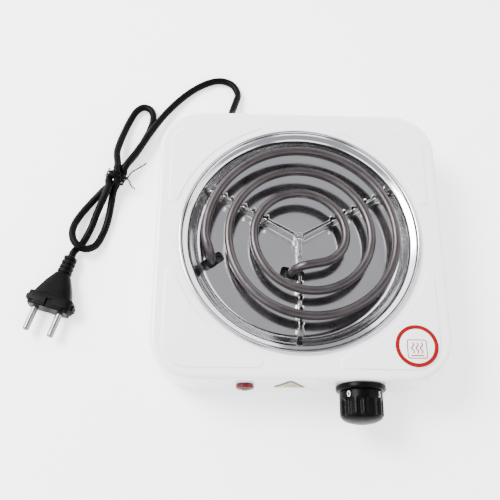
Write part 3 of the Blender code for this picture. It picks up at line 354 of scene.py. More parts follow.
def skin(bm, rings):
    """Faces between successive rings of vertices, and over both ends."""
    for lower, upper in zip(rings, rings[1:]):
        for index in range(len(lower)):
            after = (index + 1) % len(lower)
            bm.faces.new((lower[index], lower[after], upper[after], upper[index]))
    bm.faces.new(rings[0][::-1])
    bm.faces.new(rings[-1])


def loft(name, sections, material, matrix=BODY, sharp=38):
    """A closed body through sections of (distance along Z, outline points)."""
    bm = bmesh.new()
    skin(bm, [[bm.verts.new((x, y, z)) for x, y in outline] for z, outline in sections])
    return place(name, bm, material, matrix, sharp)


def prism(name, outline, low, high, material, matrix=BODY, sharp=38):
    """A flat piece between two levels."""
    return loft(name, [(low, outline), (high, outline)], material, matrix, sharp)


def rounded(half_x, half_y, radius, x=0.0, y=0.0):
    """A rounded rectangle about (x, y), from its corner centres' half distances and its corner radius."""
    outline = []
    for quarter, (sx, sy) in enumerate(((1, 1), (-1, 1), (-1, -1), (1, -1))):
        start = 90 * quarter
        outline += arc(x + sx * half_x, y + sy * half_y, radius, start, start + 90, 6)
    return outline


def settle(piece, slot, *stands_for, body="base"):
    """Tie a piece to its body and hide the CAD nodes it stands for. The slot argument is not used."""
    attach(piece, body)
    if stands_for:
        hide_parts(*stands_for)


def eased(value):
    """A smooth step from 0 to 1."""
    value = min(1.0, max(0.0, value))
    return value * value * (3 - 2 * value)


# ------------------------------------------------------------ camera
def set_camera():
    """The photograph's viewing angle."""
    yaw, lift, roll = (math.radians(a) for a in (-3.919, 67.438, 4.638))
    back = Vector((math.sin(yaw) * math.cos(lift), -math.cos(yaw) * math.cos(lift), math.sin(lift)))
    right = Vector((math.cos(yaw), math.sin(yaw), 0))
    up = back.cross(right)
    turned_right = right * math.cos(roll) + up * math.sin(roll)
    turned_up = up * math.cos(roll) - right * math.sin(roll)
    data = bpy.data.cameras.new("camera")
    data.sensor_width = 36
    data.lens = 53.04
    data.clip_start = 0.01
    camera = bpy.data.objects.new("camera", data)
    turn = Matrix((turned_right, turned_up, back)).transposed().to_4x4()
    camera.matrix_world = Matrix.Translation((-0.0499, MID.y - 0.2143, TOP + 0.4894)) @ turn
    bpy.context.scene.collection.objects.link(camera)
    bpy.context.scene.camera = camera


# ------------------------------------------------------------ mains lead
CORD_RADIUS = 0.00285
CORD_LEVEL = CORD_RADIUS + 0.0002
BUNDLE_RADIUS = 0.0041
BUNDLE_HALF = 0.0115
TIE_RADIUS = BUNDLE_RADIUS + CORD_RADIUS + 0.0004
TIE_CENTRE = Vector((-0.1432, 0.0650, TIE_RADIUS + 0.0013))
TIE_HEADING = Vector((-0.38, -0.925, 0)).normalized()
CORD_X = -0.0535
CORD_EXIT_Z = 0.0190
BOOT_AXIS = Vector((0.10, 0.90, -0.42)).normalized()
BOOT_LENGTH = 0.0205
PLUG_TOP = Vector((-0.1722, -0.0035, 0.0057))
PLUG_AXIS = Vector((-0.285, -0.958, 0.050)).normalized()
PLUG_LENGTH = 0.0455
PIN_SPACING = 0.019
PIN_RADIUS = 0.0024
PIN_LENGTH = 0.019


def bundle_run(degrees):
    """A strand's points through the tied bundle, from its angle at the end away from the plug."""
    side = Vector((-TIE_HEADING.y, TIE_HEADING.x, 0))
    points = []
    for step in range(5):
        part = step / 4
        angle = math.radians(degrees - 180 * part)
        ring = side * math.cos(angle) + Vector((0, 0, 1)) * math.sin(angle)
        spot = TIE_CENTRE + TIE_HEADING * BUNDLE_HALF * (2 * part - 1) + ring * BUNDLE_RADIUS
        points.append(tuple(spot))
    return points


def cord_points():
    """The lead from the rear wall to the plug: down to the table, then a tied figure of eight."""
    low = CORD_LEVEL
    start = Vector((CORD_X, HALF_Y, CORD_EXIT_Z)) + BOOT_AXIS * (BOOT_LENGTH + GAP)
    return [
        tuple(start),
        tuple(start + BOOT_AXIS * 0.006),
        (-0.0482, 0.1395, 0.0052),
        (-0.0462, 0.1500, low),
        (-0.0505, 0.1592, low),
        (-0.0595, 0.1634, low),
        (-0.0700, 0.1618, low),
        (-0.0825, 0.1547, low),
        (-0.0945, 0.1436, 0.0035),
        (-0.1050, 0.1300, 0.0050),
        (-0.1128, 0.1165, 0.0074),
        (-0.1190, 0.1045, 0.0092),
        (-0.1262, 0.0905, 0.0098),
        *bundle_run(30),
        (-0.1615, 0.0440, 0.0040),
        (-0.1703, 0.0300, 0.0048),
        (-0.1730, 0.0180, 0.0082),
        (-0.1702, 0.0078, 0.0104),
        (-0.1625, 0.0024, 0.0092),
        (-0.1550, 0.0068, 0.0050),
        (-0.1500, 0.0185, low),
        (-0.1468, 0.0320, 0.0038),
        *bundle_run(150)[::-1],
        (-0.1436, 0.0880, 0.0090),
        (-0.1420, 0.1000, 0.0062),
        (-0.1390, 0.1125, 0.0038),
        (-0.1355, 0.1225, low),
        (-0.1312, 0.1310, low),
        (-0.1255, 0.1350, low),
        (-0.1196, 0.1328, low),
        (-0.1170, 0.1265, low),
        (-0.1180, 0.1160, low),
        (-0.1235, 0.1015, low),
        (-0.1302, 0.0880, 0.0036),
        *bundle_run(270),
        (-0.1515, 0.0440, 0.0100),
        (-0.1560, 0.0335, 0.0062),
        (-0.1600, 0.0220, 0.0036),
        (-0.1652, 0.0100, low),
        tuple(PLUG_TOP - PLUG_AXIS * 0.005),
        tuple(PLUG_TOP - PLUG_AXIS * 2 * GAP),
    ]


def build_cord():
    """The lead and its moulded strain relief."""
    route = spline(cord_points(), 7)
    cord = sweep("power_lead", route, CORD_RADIUS, PVC, sides=22)
    settle(cord, "black_pvc", "power_cord")
    profile = [(0, -0.0040), (0.0044, -0.0040), (0.0046, 0.0036), (0.0068, 0.0036)]
    profile += arc(0.0068, 0.0042, 0.0006, -90, 90, 4)
    profile += [(0.0050, 0.0050), (0.0048, 0.0056)]
    rings = 5
    for ring in range(rings):
        z = 0.0062 + ring * 0.0027
        r = 0.0048 - 0.0010 * ring / rings
        profile += [(r - 0.0009, z), (r - 0.0009, z + 0.0008), (r, z + 0.0011), (r - 0.0001, z + 0.0024)]
    profile += arc(0.0034, BOOT_LENGTH - 0.0006, 0.0006, 0, 90, 4)
    profile += [(0, BOOT_LENGTH)]
    tilt = Vector((0, 0, 1)).rotation_difference(BOOT_AXIS).to_matrix().to_4x4()
    boot_place = BODY @ Matrix.Translation((CORD_X, HALF_Y, CORD_EXIT_Z)) @ tilt
    boot = lathe("strain_relief", profile, RUBBER, boot_place, steps=48)
    settle(boot, "black_rubber", "cord_bushing")
    return cord, route, boot


def build_tie():
    """A thin wire tie wound round the bundle, its twist and its two tails."""
    side = Vector((-TIE_HEADING.y, TIE_HEADING.x, 0))
    up = Vector((0, 0, 1))
    wire = 0.00055
    points = []
    turns = 4
    for step in range(turns * 20 + 1):
        part = step / (turns * 20)
        angle = 2 * math.pi * turns * part + 2.4
        wobble = 0.0007 * math.sin(3.1 * angle / 2)
        around = side * math.cos(angle) * (TIE_RADIUS + 0.0004) + up * math.sin(angle) * (TIE_RADIUS + 0.0002)
        points.append(TIE_CENTRE + around + TIE_HEADING * (0.0056 * (part - 0.5) + wobble))
    coil = sweep("wire_tie", points, wire, PVC, sides=8)
    settle(coil, "black_pvc", "cord_tie")
    knot = TIE_CENTRE + side * (TIE_RADIUS * 0.80) + up * 0.0052
    ends = []
    for number, way in enumerate((1, -1)):
        twist = []
        for step in range(25):
            part = step / 24
            angle = 2 * math.pi * 1.6 * part + math.pi * number
            spot = knot + side * 0.0052 * part + up * 0.0012 * part
            spot += (TIE_HEADING * math.cos(angle) + up * math.sin(angle)) * 0.0008
            twist.append(spot)
        end = twist[-1]
        if way > 0:
            tail = [(-0.1300, 0.0668, 0.0140), (-0.1252, 0.0712, 0.0128), (-0.1192, 0.0778, 0.0096)]
        else:
            tail = [(-0.1318, 0.0606, 0.0120), (-0.1304, 0.0578, 0.0090), (-0.1272, 0.0556, 0.0066)]
        line = twist + spline([end, *tail], 8)[1:]
        piece = sweep("tie_tail_%d" % (number + 1), line, wire, PVC, sides=8)
        settle(piece, "black_pvc")
        ends.append(piece)
    return [coil, *ends]


def superellipse(half_x, half_y, power, count=48):
    """Points of a rounded rectangle-like section."""
    points = []
    for step in range(count):
        angle = 2 * math.pi * (step + 0.5) / count
        c = math.cos(angle)
        s = math.sin(angle)
        points.append((half_x * math.copysign(abs(c) ** (2 / power), c),
                       half_y * math.copysign(abs(s) ** (2 / power), s)))
    return points


def build_plug():
    """The moulded plug with its ribbed neck, flared body, grip collar and notched face, and its pins."""
    across = Vector((0, 0, 1)).cross(PLUG_AXIS).normalized()
    up = PLUG_AXIS.cross(across)
    turn = Matrix((across, up, PLUG_AXIS)).transposed().to_4x4()
    plug_place = BODY @ Matrix.Translation(PLUG_TOP) @ turn
    wide, high, end = 0.0178, 0.0074, PLUG_LENGTH
    stages = [(0.0, 0.0036, 0.0036, 2), (0.0004, 0.0042, 0.0042, 2)]
    for rib in range(4):
        z = 0.0008 + rib * 0.0037
        r = 0.0049 + 0.00015 * rib
        stages += [(z, r - 0.0002, r - 0.0002, 2.4), (z + 0.0003, r, r, 2.8), (z + 0.0023, r, r, 2.8),
                   (z + 0.0026, r - 0.0002, r - 0.0002, 2.4), (z + 0.0028, r - 0.0008, r - 0.0008, 2.2),
                   (z + 0.0034, r - 0.0008, r - 0.0008, 2.2)]
    stages += [
        (0.0154, 0.0050, 0.0048, 2.6), (0.0158, 0.0058, 0.0052, 2.8), (0.0166, 0.0064, 0.0055, 3.0),
        (0.0200, 0.0082, 0.0060, 3.4), (0.0240, 0.0103, 0.0064, 3.8), (0.0280, 0.0121, 0.0067, 4.2),
        (0.0320, 0.0136, 0.0070, 4.6), (end - 0.0112, 0.0143, high * 0.97, 5),
        (end - 0.0104, 0.0146, high * 0.98, 5), (end - 0.0101, wide * 0.95, high * 0.99, 7),
        (end - 0.0098, wide * 0.96, high, 7), (end - 0.0030, wide * 0.97, high, 7),
        (end - 0.0026, wide * 0.96, high * 0.99, 7), (end - 0.0023, wide * 0.90, high * 0.95, 6),
        (end - 0.0005, wide * 0.89, high * 0.94, 6), (end, wide * 0.87, high * 0.90, 6),
    ]
    plug = loft("moulded_plug", [(z, superellipse(x, y, p)) for z, x, y, p in stages], PVC, plug_place, 32)
    tools = []
    turned = Matrix(((1, 0, 0, 0), (0, 0, 1, 0), (0, -1, 0, 0), (0, 0, 0, 1)))
    notches = [(0, 0.0024, 0.0070), (0.0130, 0.0012, 0.0030), (-0.0130, 0.0012, 0.0030)]
    for side in (1, -1):
        for middle, reach, depth in notches:
            outline = [(middle - reach, -end - 0.01), (middle + reach, -end - 0.01),
                       (middle + reach, -end + depth), (middle - reach, -end + depth)]
            tools.append(prism("notch", outline, side * high * 1.3 - 0.0036, side * high * 1.3 + 0.0036,
                               PVC, plug_place @ turned))
    cut(plug, tools, 32)
    lugs = []
    for number, side in enumerate((-1, 1)):
        x = side * wide * 0.985
        outline = [(x - 0.0011, -end + 0.0036), (x + 0.0011, -end + 0.0036),
                   (x + 0.0011, -end + 0.0078), (x - 0.0011, -end + 0.0078)]
        reach = high * 0.55
        lug = prism("plug_lug_%d" % (number + 1), outline, -reach, reach, PVC, plug_place @ turned)
        edge = lug.modifiers.new("edge", "BEVEL")
        edge.width = 0.0005
        edge.segments = 3
        applied(lug, 40)
        settle(lug, "black_pvc")
        lugs.append(lug)
    settle(plug, "black_pvc", "plug_body")
    pieces = [plug, *lugs]
    tip = PIN_LENGTH
    profile = [(0, tip), (PIN_RADIUS * 0.45, tip - 0.0001)]
    profile += arc(PIN_RADIUS - 0.0014, tip - 0.0014, 0.0014, 80, 0, 6)
    profile += [(PIN_RADIUS, 0.0095), (PIN_RADIUS, GAP), (0, GAP)]
    for name, side in (("left", -1), ("right", 1)):
        pin_place = plug_place @ Matrix.Translation((side * PIN_SPACING / 2, 0, end))
        pin = lathe("pin_" + name, profile, PIN, pin_place, steps=32)
        settle(pin, "nickel_pin", "plug_pin_" + name)
        pieces.append(pin)
    return pieces


# ------------------------------------------------------------ pressed shell
FLAT_X = HALF_X - EDGE
FLAT_Y = HALF_Y - EDGE
FLAT_CORNER = CORNER - EDGE
OPENING = 0.0856
PAD_OUT_X = HALF_X - 0.009
PAD_OUT_FRONT = HALF_Y - 0.0075
PAD_OUT_REAR = HALF_Y - 0.0122
PAD_CORNER = 0.018
PAD_END = 0.027
SIDE_END = 0.040
SCREW_INSET = 0.0245
PAD_ARC = PAN_RADIUS + 0.0055
PAD_STEP = 0.0005


def soft_min(a, b, reach=0.0030):
    """The smaller of two distances, rounded off where they are nearly equal."""
    near = max(reach - abs(a - b), 0.0) / reach
    return min(a, b) - near * near * reach / 4


def pad_depth(x, y):
    """Distance inside a raised field at a point of the top face, negative outside."""
    outside = rect_distance(Vector((x, y)), PAD_OUT_REAR if y > 0 else PAD_OUT_FRONT)
    depth = soft_min(-outside, math.hypot(x, y) - PAD_ARC)
    return soft_min(depth, soft_min(abs(x) - PAD_END, abs(y) - PAD_END))


def crossings(inner, outer, out_y):
    """Shares of the way from inner to outer at which a raised field begins and ends."""
    found = []
    for inside in (lambda p: p.length - PAD_ARC, lambda p: rect_distance(p, out_y)):
        low, high = 0.0, 1.0
        for _ in range(30):
            middle = (low + high) / 2
            if inside(inner.lerp(outer, middle)) > 0:
                high = middle
            else:
                low = middle
        found.append((low + high) / 2)
    return found


def quarter_columns(out_y):
    """Columns of one quarter of the top face: inner point, outer point, outward normal, two crossings."""
    near = [0, 0.008, 0.016, 0.022]
    near += [PAD_END + k * PAD_STEP for k in (-1.6, -1, -0.6, -0.3, 0, 0.3, 0.6, 1, 1.6)]
    near += [PAD_END + 0.0032, 0.0335, 0.0370, SIDE_END]
    columns = []

    def across(stop, flat, swap):
        """The column at a stop along a straight side, or along the side that faces X."""
        def spot(along, out):
            return Vector((out, along)) if swap else Vector((along, out))

        start = math.sqrt(OPENING**2 - stop**2)
        inner, outer = spot(stop, start), spot(stop, flat)
        if stop < PAD_END:
            level = math.sqrt(OPENING**2 - PAD_END**2)
            pair = crossings(spot(PAD_END, level), spot(PAD_END, flat), out_y)
            pair = [(level + (flat - level) * t - start) / (flat - start) for t in pair]
        else:
            pair = crossings(inner, outer, out_y)
        columns.append((inner, outer, spot(0, 1), pair))

    for stop in near:
        across(stop, FLAT_Y, False)
    run = FLAT_X - FLAT_CORNER - SIDE_END
    bend = math.pi / 2 * FLAT_CORNER
    total = 2 * run + bend
    count = 44
    start = math.asin(SIDE_END / OPENING)
    for step in range(1, count):
        way = total * step / count
        angle = start + (math.pi / 2 - 2 * start) * step / count
        inner = Vector((OPENING * math.sin(angle), OPENING * math.cos(angle)))
        if way < run:
            outer, normal = Vector((SIDE_END + way, FLAT_Y)), Vector((0, 1))
        elif way < run + bend:
            a = (way - run) / FLAT_CORNER
            normal = Vector((math.sin(a), math.cos(a)))
            outer = Vector((FLAT_X - FLAT_CORNER, FLAT_Y - FLAT_CORNER)) + normal * FLAT_CORNER
        else:
            outer, normal = Vector((FLAT_X, FLAT_Y - FLAT_CORNER - (way - run - bend))), Vector((1, 0))
        columns.append((inner, outer, normal, crossings(inner, outer, out_y)))
    for stop in near[::-1]:
        across(stop, FLAT_X, True)
    return columns


def rect_distance(point, out_y):
    """Distance of a point outside the rounded rectangle round the raised fields, negative inside."""
    qx, qy = abs(point.x) - PAD_OUT_X + PAD_CORNER, abs(point.y) - out_y + PAD_CORNER
    return math.hypot(max(qx, 0), max(qy, 0)) + min(max(qx, qy), 0) - PAD_CORNER


def build_shell():
    """The pressed body: raised fields, rolled edge, skirt and lip, with the holes in its walls."""
    columns = []
    for sx, sy in ((1, 1), (1, -1), (-1, -1), (-1, 1)):
        quarter = quarter_columns(PAD_OUT_REAR if sy > 0 else PAD_OUT_FRONT)
        if sx * sy < 0:
            quarter = quarter[::-1]
        for inner, outer, normal, pair in quarter[:-1]:
            columns.append((
                Vector((sx * inner.x, sy * inner.y)), Vector((sx * outer.x, sy * outer.y)),
                Vector((sx * normal.x, sy * normal.y)), pair,
            ))
    bm = bmesh.new()
    lines = []
    for inner, outer, normal, (first, second) in columns:
        length = (outer - inner).length
        w = PAD_STEP / length
        shares = [0.0, (PAN_RADIUS - OPENING) / length]
        shares += [first + k * w for k in (-1.3, -0.9, -0.5, -0.2, 0.1, 0.5, 0.9, 1.3)]
        shares += [first + (second - first) * k for k in (0.35, 0.65)]
        shares += [second + k * w for k in (-1.3, -0.9, -0.5, -0.1, 0.2, 0.5, 0.9, 1.3)]
        shares += [(second + 1) / 2 + 0.4 * w, 1.0]
        line = []
        for share in sorted(min(1.0, max(0.0, s)) for s in shares):
            spot = inner.lerp(outer, share)
            rise = PAD_HEIGHT * eased(0.5 + pad_depth(spot.x, spot.y) / (2 * PAD_STEP))
            line.append((spot.x, spot.y, TOP + rise))
        line[0] = (line[0][0], line[0][1], TOP - 0.0018)
        line.insert(1, (*(inner * (1 + 0.0004 / OPENING)), TOP - 0.0004))
        line.insert(2, (*(inner * (1 + 0.0012 / OPENING)), TOP))
        for step in range(1, 8):
            a = math.pi / 2 * step / 7
            spot = outer + normal * EDGE * math.sin(a)
            line.append((*spot, TOP - EDGE * (1 - math.cos(a))))
        wall = outer + normal * EDGE
        line.append((*wall, TOP - EDGE - 0.0012))
        line.append((*wall, (TOP + BOTTOM) / 2))
        line.append((*wall, BOTTOM + 0.0022))
        for step in range(0, 5):
            a = math.pi / 2 * step / 4
            spot = wall - normal * 0.0010 * (1 - math.cos(a))
            line.append((*spot, BOTTOM + 0.0010 * (1 - math.sin(a))))
        line.append((*(wall - normal * 0.009), BOTTOM))
        lines.append([bm.verts.new(spot) for spot in line])
    for one, two in zip(lines, lines[1:] + lines[:1]):
        for k in range(len(one) - 1):
            bm.faces.new((one[k], one[k + 1], two[k + 1], two[k]))
    bmesh.ops.remove_doubles(bm, verts=bm.verts, dist=2e-6)
    shell = place("pressed_shell", bm, ENAMEL, BODY, 50)
    sheet = shell.modifiers.new("sheet", "SOLIDIFY")
    sheet.thickness = WALL
    sheet.offset = -1
    applied(shell, 50)
    holes = [(KNOB_AXIS.x - MID.x, FRONT + 0.002, KNOB_AXIS.z, 0.0052, 0.006, FACE_FRONT),
             (LAMP_AXIS.x - MID.x, FRONT + 0.002, KNOB_AXIS.z, 0.0054, 0.006, FACE_FRONT),
             (CORD_X, HALF_Y, CORD_EXIT_Z, 0.0057, 0.006, FACE_FRONT)]
    for x in (SCREW_INSET - HALF_X, HALF_X - SCREW_INSET):
        for y in (SCREW_INSET - HALF_Y, HALF_Y - SCREW_INSET):
            holes.append((x, y, BOTTOM, 0.0023, 0.004, Matrix()))
    tools = []
    for x, y, z, radius, reach, turn in holes:
        profile = [(0, -reach), (radius, -reach), (radius, reach), (0, reach)]
        spot = BODY @ Matrix.Translation((x, y, z)) @ turn
        tools.append(lathe("hole", profile, ENAMEL, spot, steps=48 if reach > 0.005 else 24))
    cut(shell, tools, 50)
    settle(shell, "white_enamel", "top_shell")


# ------------------------------------------------------------ drip pan and element
COIL_START = 0.0684
COIL_RADIUS = 0.0702
COIL_PITCH = 0.0184
COIL_TURNS = 3
COIL_DROP = 0.0115
COIL_LEG = 0.0120
COIL_LAST_SWEEP = math.radians(79)
COIL_LAST_RADIUS = 0.0215
COIL_RUN_IN = 0.0105
COIL_END_SWEEP = math.radians(20)
COIL_END_RADIUS = 0.0180
SLOT_LENGTH = 0.0175
SLOT_WIDTH = 0.0082
SLOT_SHIFT = 0.0006
SLOT_TURNS = (36, -14)


def half_turn_ends():
    """Where the spiral crosses the left-right line, from the outer end inwards."""
    ends = [-COIL_START]
    for turn in range(COIL_TURNS):
        reach = COIL_RADIUS - turn * COIL_PITCH
        ends.append(reach)
        if turn < COIL_TURNS - 1:
            ends.append(-(reach - COIL_PITCH))
    return ends


def coil_plan():
    """The spiral in plan, with the heading at its inner end."""
    ends = half_turn_ends()
    points = []
    for index, (start, end) in enumerate(zip(ends, ends[1:])):
        middle = (start + end) / 2
        radius = abs(end - start) / 2
        count = max(24, round(math.pi * radius / 0.0022))
        upper = index % 2 == 0
        for step in range(count):
            angle = (math.pi if upper else 0.0) - math.pi * step / count
            points.append(Vector((middle + radius * math.cos(angle), radius * math.sin(angle))))
    middle = ends[-1] - COIL_LAST_RADIUS
    for step in range(21):
        angle = -COIL_LAST_SWEEP * step / 20
        points.append(Vector((middle, 0)) + Vector((math.cos(angle), math.sin(angle))) * COIL_LAST_RADIUS)
    heading = Vector((math.sin(-COIL_LAST_SWEEP), -math.cos(COIL_LAST_SWEEP)))
    return points, heading.normalized()


def coil_feet():
    """Plan places of the two cold ends."""
    points, heading = coil_plan()
    curl, way = outer_end()
    return curl[-1] + way * COIL_DROP, points[-1] + heading * (COIL_RUN_IN + COIL_DROP)


def outer_end():
    """The outer end's curl in plan, from the spiral's first point, and its heading where it turns down."""
    points = []
    for step in range(1, 6):
        angle = COIL_END_SWEEP * step / 5
        points.append(Vector((
            -COIL_START + COIL_END_RADIUS * (1 - math.cos(angle)), -COIL_END_RADIUS * math.sin(angle)
        )))
    return points, Vector((math.sin(COIL_END_SWEEP), -math.cos(COIL_END_SWEEP)))


def turn_down(start, heading):
    """Points of a tube that turns from level to straight down, and its leg."""
    bend = []
    for step in range(1, 15):
        angle = math.pi / 2 * step / 14
        spot = start + heading * COIL_DROP * math.sin(angle)
        bend.append((spot.x, spot.y, COIL_LEVEL - COIL_DROP * (1 - math.cos(angle))))
    foot = bend[-1]
    bend.append((foot[0], foot[1], foot[2] - COIL_LEG))
    return bend


def build_coil():
    """The sheathed heating tube with its flat spiral and both turned-down ends."""
    plan, heading = coil_plan()
    curl, way = outer_end()
    route = turn_down(curl[-1], way)[::-1]
    route += [(spot.x, spot.y, COIL_LEVEL) for spot in curl[::-1]]
    route += [(spot.x, spot.y, COIL_LEVEL) for spot in plan]
    inner_start = plan[-1] + heading * COIL_RUN_IN
    route.append((*(plan[-1] + heading * COIL_RUN_IN / 2), COIL_LEVEL))
    route.append((inner_start.x, inner_start.y, COIL_LEVEL))
    route += turn_down(inner_start, heading)
    coil = sweep("spiral_element", route, TUBE_RADIUS, SHEATH, sides=24)
    settle(coil, "element_sheath", "heating_coil")


def build_pan():
    """The chromed pan: rolled rim, sloping side and a flat floor with a slot for each tube end."""
    wall = 0.0006
    half = PAN_ROLL / 2
    rim_z = TOP + GAP + half
    rim_r = PAN_RADIUS - half
    fillet, slope = 0.0080, math.radians(56)
    side = []
    for step in range(13):
        angle = slope * step / 12
        side.append((FLOOR_RADIUS + fillet * math.sin(angle), PAN_FLOOR + fillet * (1 - math.cos(angle))))
    upper = spline([
        (*side[-1], 0), (side[-1][0] + 0.0014, side[-1][1] + 0.0021, 0),
        (PAN_RADIUS - 0.0080, TOP - 0.0021, 0), (PAN_RADIUS - 0.0066, TOP - 0.0008, 0),
        (PAN_RADIUS - 0.0049, TOP + 0.0001, 0), (PAN_RADIUS - 0.0034, TOP + 0.0008, 0),
    ], 4)
    side += [(spot.x, spot.y) for spot in upper[1:]]
    under = []
    for index, (r, z) in enumerate(side):
        before, after = side[max(index - 1, 0)], side[min(index + 1, len(side) - 1)]
        along = Vector((after[0] - before[0], after[1] - before[1])).normalized()
        under.append((r + along.y * wall, z - along.x * wall))
    profile = [(0, PAN_FLOOR), (0.02, PAN_FLOOR), (0.04, PAN_FLOOR), (0.06, PAN_FLOOR)] + side[:]
    profile += arc(rim_r, rim_z, half, 168, -70, 16)
    profile += arc(rim_r, rim_z, half - wall, -70, 168, 12)
    profile += under[::-1] + [(0.06, PAN_FLOOR - wall), (0.04, PAN_FLOOR - wall), (0, PAN_FLOOR - wall)]
    pan = lathe("chromed_pan", profile, CHROME, BODY, steps=192, sharp=60)
    corner = 0.0024
    slot = rounded(SLOT_LENGTH / 2 - corner, SLOT_WIDTH / 2 - corner, corner, x=SLOT_SHIFT)
    tools = []
    for foot, degrees in zip(coil_feet(), SLOT_TURNS):
        turn = Matrix.Rotation(math.radians(degrees), 4, "Z")
        spot = BODY @ Matrix.Translation((foot.x, foot.y, PAN_FLOOR)) @ turn
        tools.append(prism("slot", slot, -0.004, 0.004, CHROME, spot))
    cut(pan, tools, 60)
    settle(pan, "chrome_pan", "drip_pan")


STRIP_LOW = PAN_FLOOR + GAP
STRIP_BASE = STRIP_LOW + 0.0088
STRIP_SADDLE = COIL_LEVEL - TUBE_RADIUS - 0.0004
EAR_HEIGHT = 0.0034
EAR_WIDTH = 0.0030
SADDLE_HALF = TUBE_RADIUS + 0.0008
LEAF_START = 0.004


def arm_crossings(angle):
    """Distances from the middle at which the spiral's turns pass over an arm."""
    ends = half_turn_ends()
    distances = []
    for index, (start, end) in enumerate(zip(ends, ends[1:])):
        if (index % 2 == 0) == (math.sin(angle) > 0):
            middle = (start + end) / 2
            radius = abs(end - start) / 2
            along = middle * math.cos(angle)
            distances.append(along + math.sqrt(radius**2 - middle**2 + along**2))
    return sorted(distances)


def strip_top(distance, crossings, dip, reach):
    """Upper edge of a strip at a distance from the middle, and how much of it is an ear."""
    level, ear = STRIP_BASE, 0.0
    if dip and dip[0] < distance < dip[1]:
        level = dip[2]
    for cross in crossings:
        off = abs(distance - cross)
        if off < SADDLE_HALF:
            level, ear = STRIP_SADDLE, 0.0
        elif off < SADDLE_HALF + EAR_WIDTH:
            width = EAR_WIDTH if distance < cross else min(EAR_WIDTH, reach - cross - SADDLE_HALF)
            part = min(1.0, (off - SADDLE_HALF) / width)
            bulge = math.sqrt(max(0.0, 1 - abs(2 * part - 1) ** 3))
            level = STRIP_SADDLE + EAR_HEIGHT * max(0.35, bulge)
            ear = bulge
    return level, ear


def leaf_columns(along, side, angle, dip):
    """Columns of one leaf from the middle outwards, as lists of points from its lower to its upper edge."""
    crossings = arm_crossings(angle)
    reach = max(FLOOR_RADIUS + 0.0015, crossings[-1] + TUBE_RADIUS + 0.0030)
    stops = {LEAF_START, reach}
    distance = LEAF_START
    while distance < reach:
        stops.add(round(distance, 5))
        distance += 0.0011
    for cross in crossings:
        for past in (-0.0002, 0.0001, 0.0004, EAR_WIDTH - 0.0003, EAR_WIDTH + 0.0002):
            stops.add(round(cross - SADDLE_HALF - past, 5))
            stops.add(round(cross + SADDLE_HALF + past, 5))
    columns = []
    for distance in sorted(s for s in stops if LEAF_START <= s <= reach):
        top, ear = strip_top(distance, crossings, dip, reach)
        low = STRIP_LOW + max(0.0, distance - FLOOR_RADIUS + 0.0005)
        flare = 0.0016 * eased((distance - reach + 0.0075) / 0.0075)
        spread = 0.0005 + 0.0007 * (1 - eased((distance - LEAF_START) / 0.045)) + flare
        column = []
        for level in (0.0, 0.3, 0.6, 0.8, 0.92, 1.0):
            z = low + (top - low) * level
            curl = 0.0011 * ear * max(0.0, level - 0.6) ** 1.3 / 0.4 ** 1.3
            spot = along * distance + side * (spread + curl)
            column.append((spot.x, spot.y, z))
        columns.append(column)
    return columns


def build_strip(name, angles, dips):
    """A strip on edge, folded once in the middle, with one leaf along each of two arms."""
    directions = [Vector((math.cos(a), math.sin(a))) for a in angles]
    toward = (directions[0] + directions[1]).normalized()
    leaves = []
    for along, angle, dip in zip(directions, angles, dips):
        side = Vector((-along.y, along.x))
        if side.dot(toward) < 0:
            side.negate()
        leaves.append(leaf_columns(along, side, angle, dip))
    first, last = leaves[0][0], leaves[1][0]
    fold = []
    for step in range(1, 12):
        t = step / 12
        bulge = toward * 0.0026 * math.sin(math.pi * t)
        column = []
        for a, b in zip(first, last):
            spot = Vector(a).lerp(Vector(b), t)
            pull = Vector((spot.x, spot.y)) * (1 - 0.75 * math.sin(math.pi * t)) + bulge
            column.append((pull.x, pull.y, spot.z))
        fold.append(column)
    line = leaves[0][::-1] + fold + leaves[1]
    bm = bmesh.new()
    grid = [[bm.verts.new(spot) for spot in column] for column in line]
    for one, two in zip(grid, grid[1:]):
        for k in range(len(one) - 1):
            bm.faces.new((one[k], two[k], two[k + 1], one[k + 1]))
    obj = place(name + "_folded", bm, PLATED, BODY, 45)
    sheet = obj.modifiers.new("sheet", "SOLIDIFY")
    sheet.thickness = 0.00055
    sheet.offset = 0
    edge = obj.modifiers.new("edge", "BEVEL")
    edge.width = 0.00012
    edge.segments = 2
    edge.limit_method = "ANGLE"
    edge.angle_limit = math.radians(60)
    applied(obj, 50)
    settle(obj, "plated_strip", name)


def build_support():
    """Three folded strips whose leaves make the three arms under the element."""
    front, right, left = (math.radians(a) for a in (-90, 30, 150))
    dip = (0.0155, 0.0300, COIL_LEVEL - TUBE_RADIUS - 0.0055)
    build_strip("support_strip_left", (front, left), (dip, None))
    build_strip("support_strip_right", (front, right), (dip, None))
    build_strip("support_strip_rear", (left, right), (None, None))


# ------------------------------------------------------------ knob, lamp, labels
KNOB_FLANGE = 0.0174
KNOB_BARREL = 0.0150
KNOB_LENGTH = 0.0210
KNOB_DOME = 0.0055
KNOB_BACK = 0.0006
FLUTES = 14


def fluted(angle, radius, z):
    """The barrel's outer half has rounded grip flutes that fade out over the dome."""
    along = eased((z - 0.0100) / 0.0022) * eased((KNOB_LENGTH + 0.0012 - z) / 0.0016)
    if radius < KNOB_BARREL - 0.0012:
        along = 0.0
    wave = 0.5 + 0.5 * math.cos(FLUTES * angle + math.pi)
    return radius - 0.0011 * along * wave ** 1.6, z


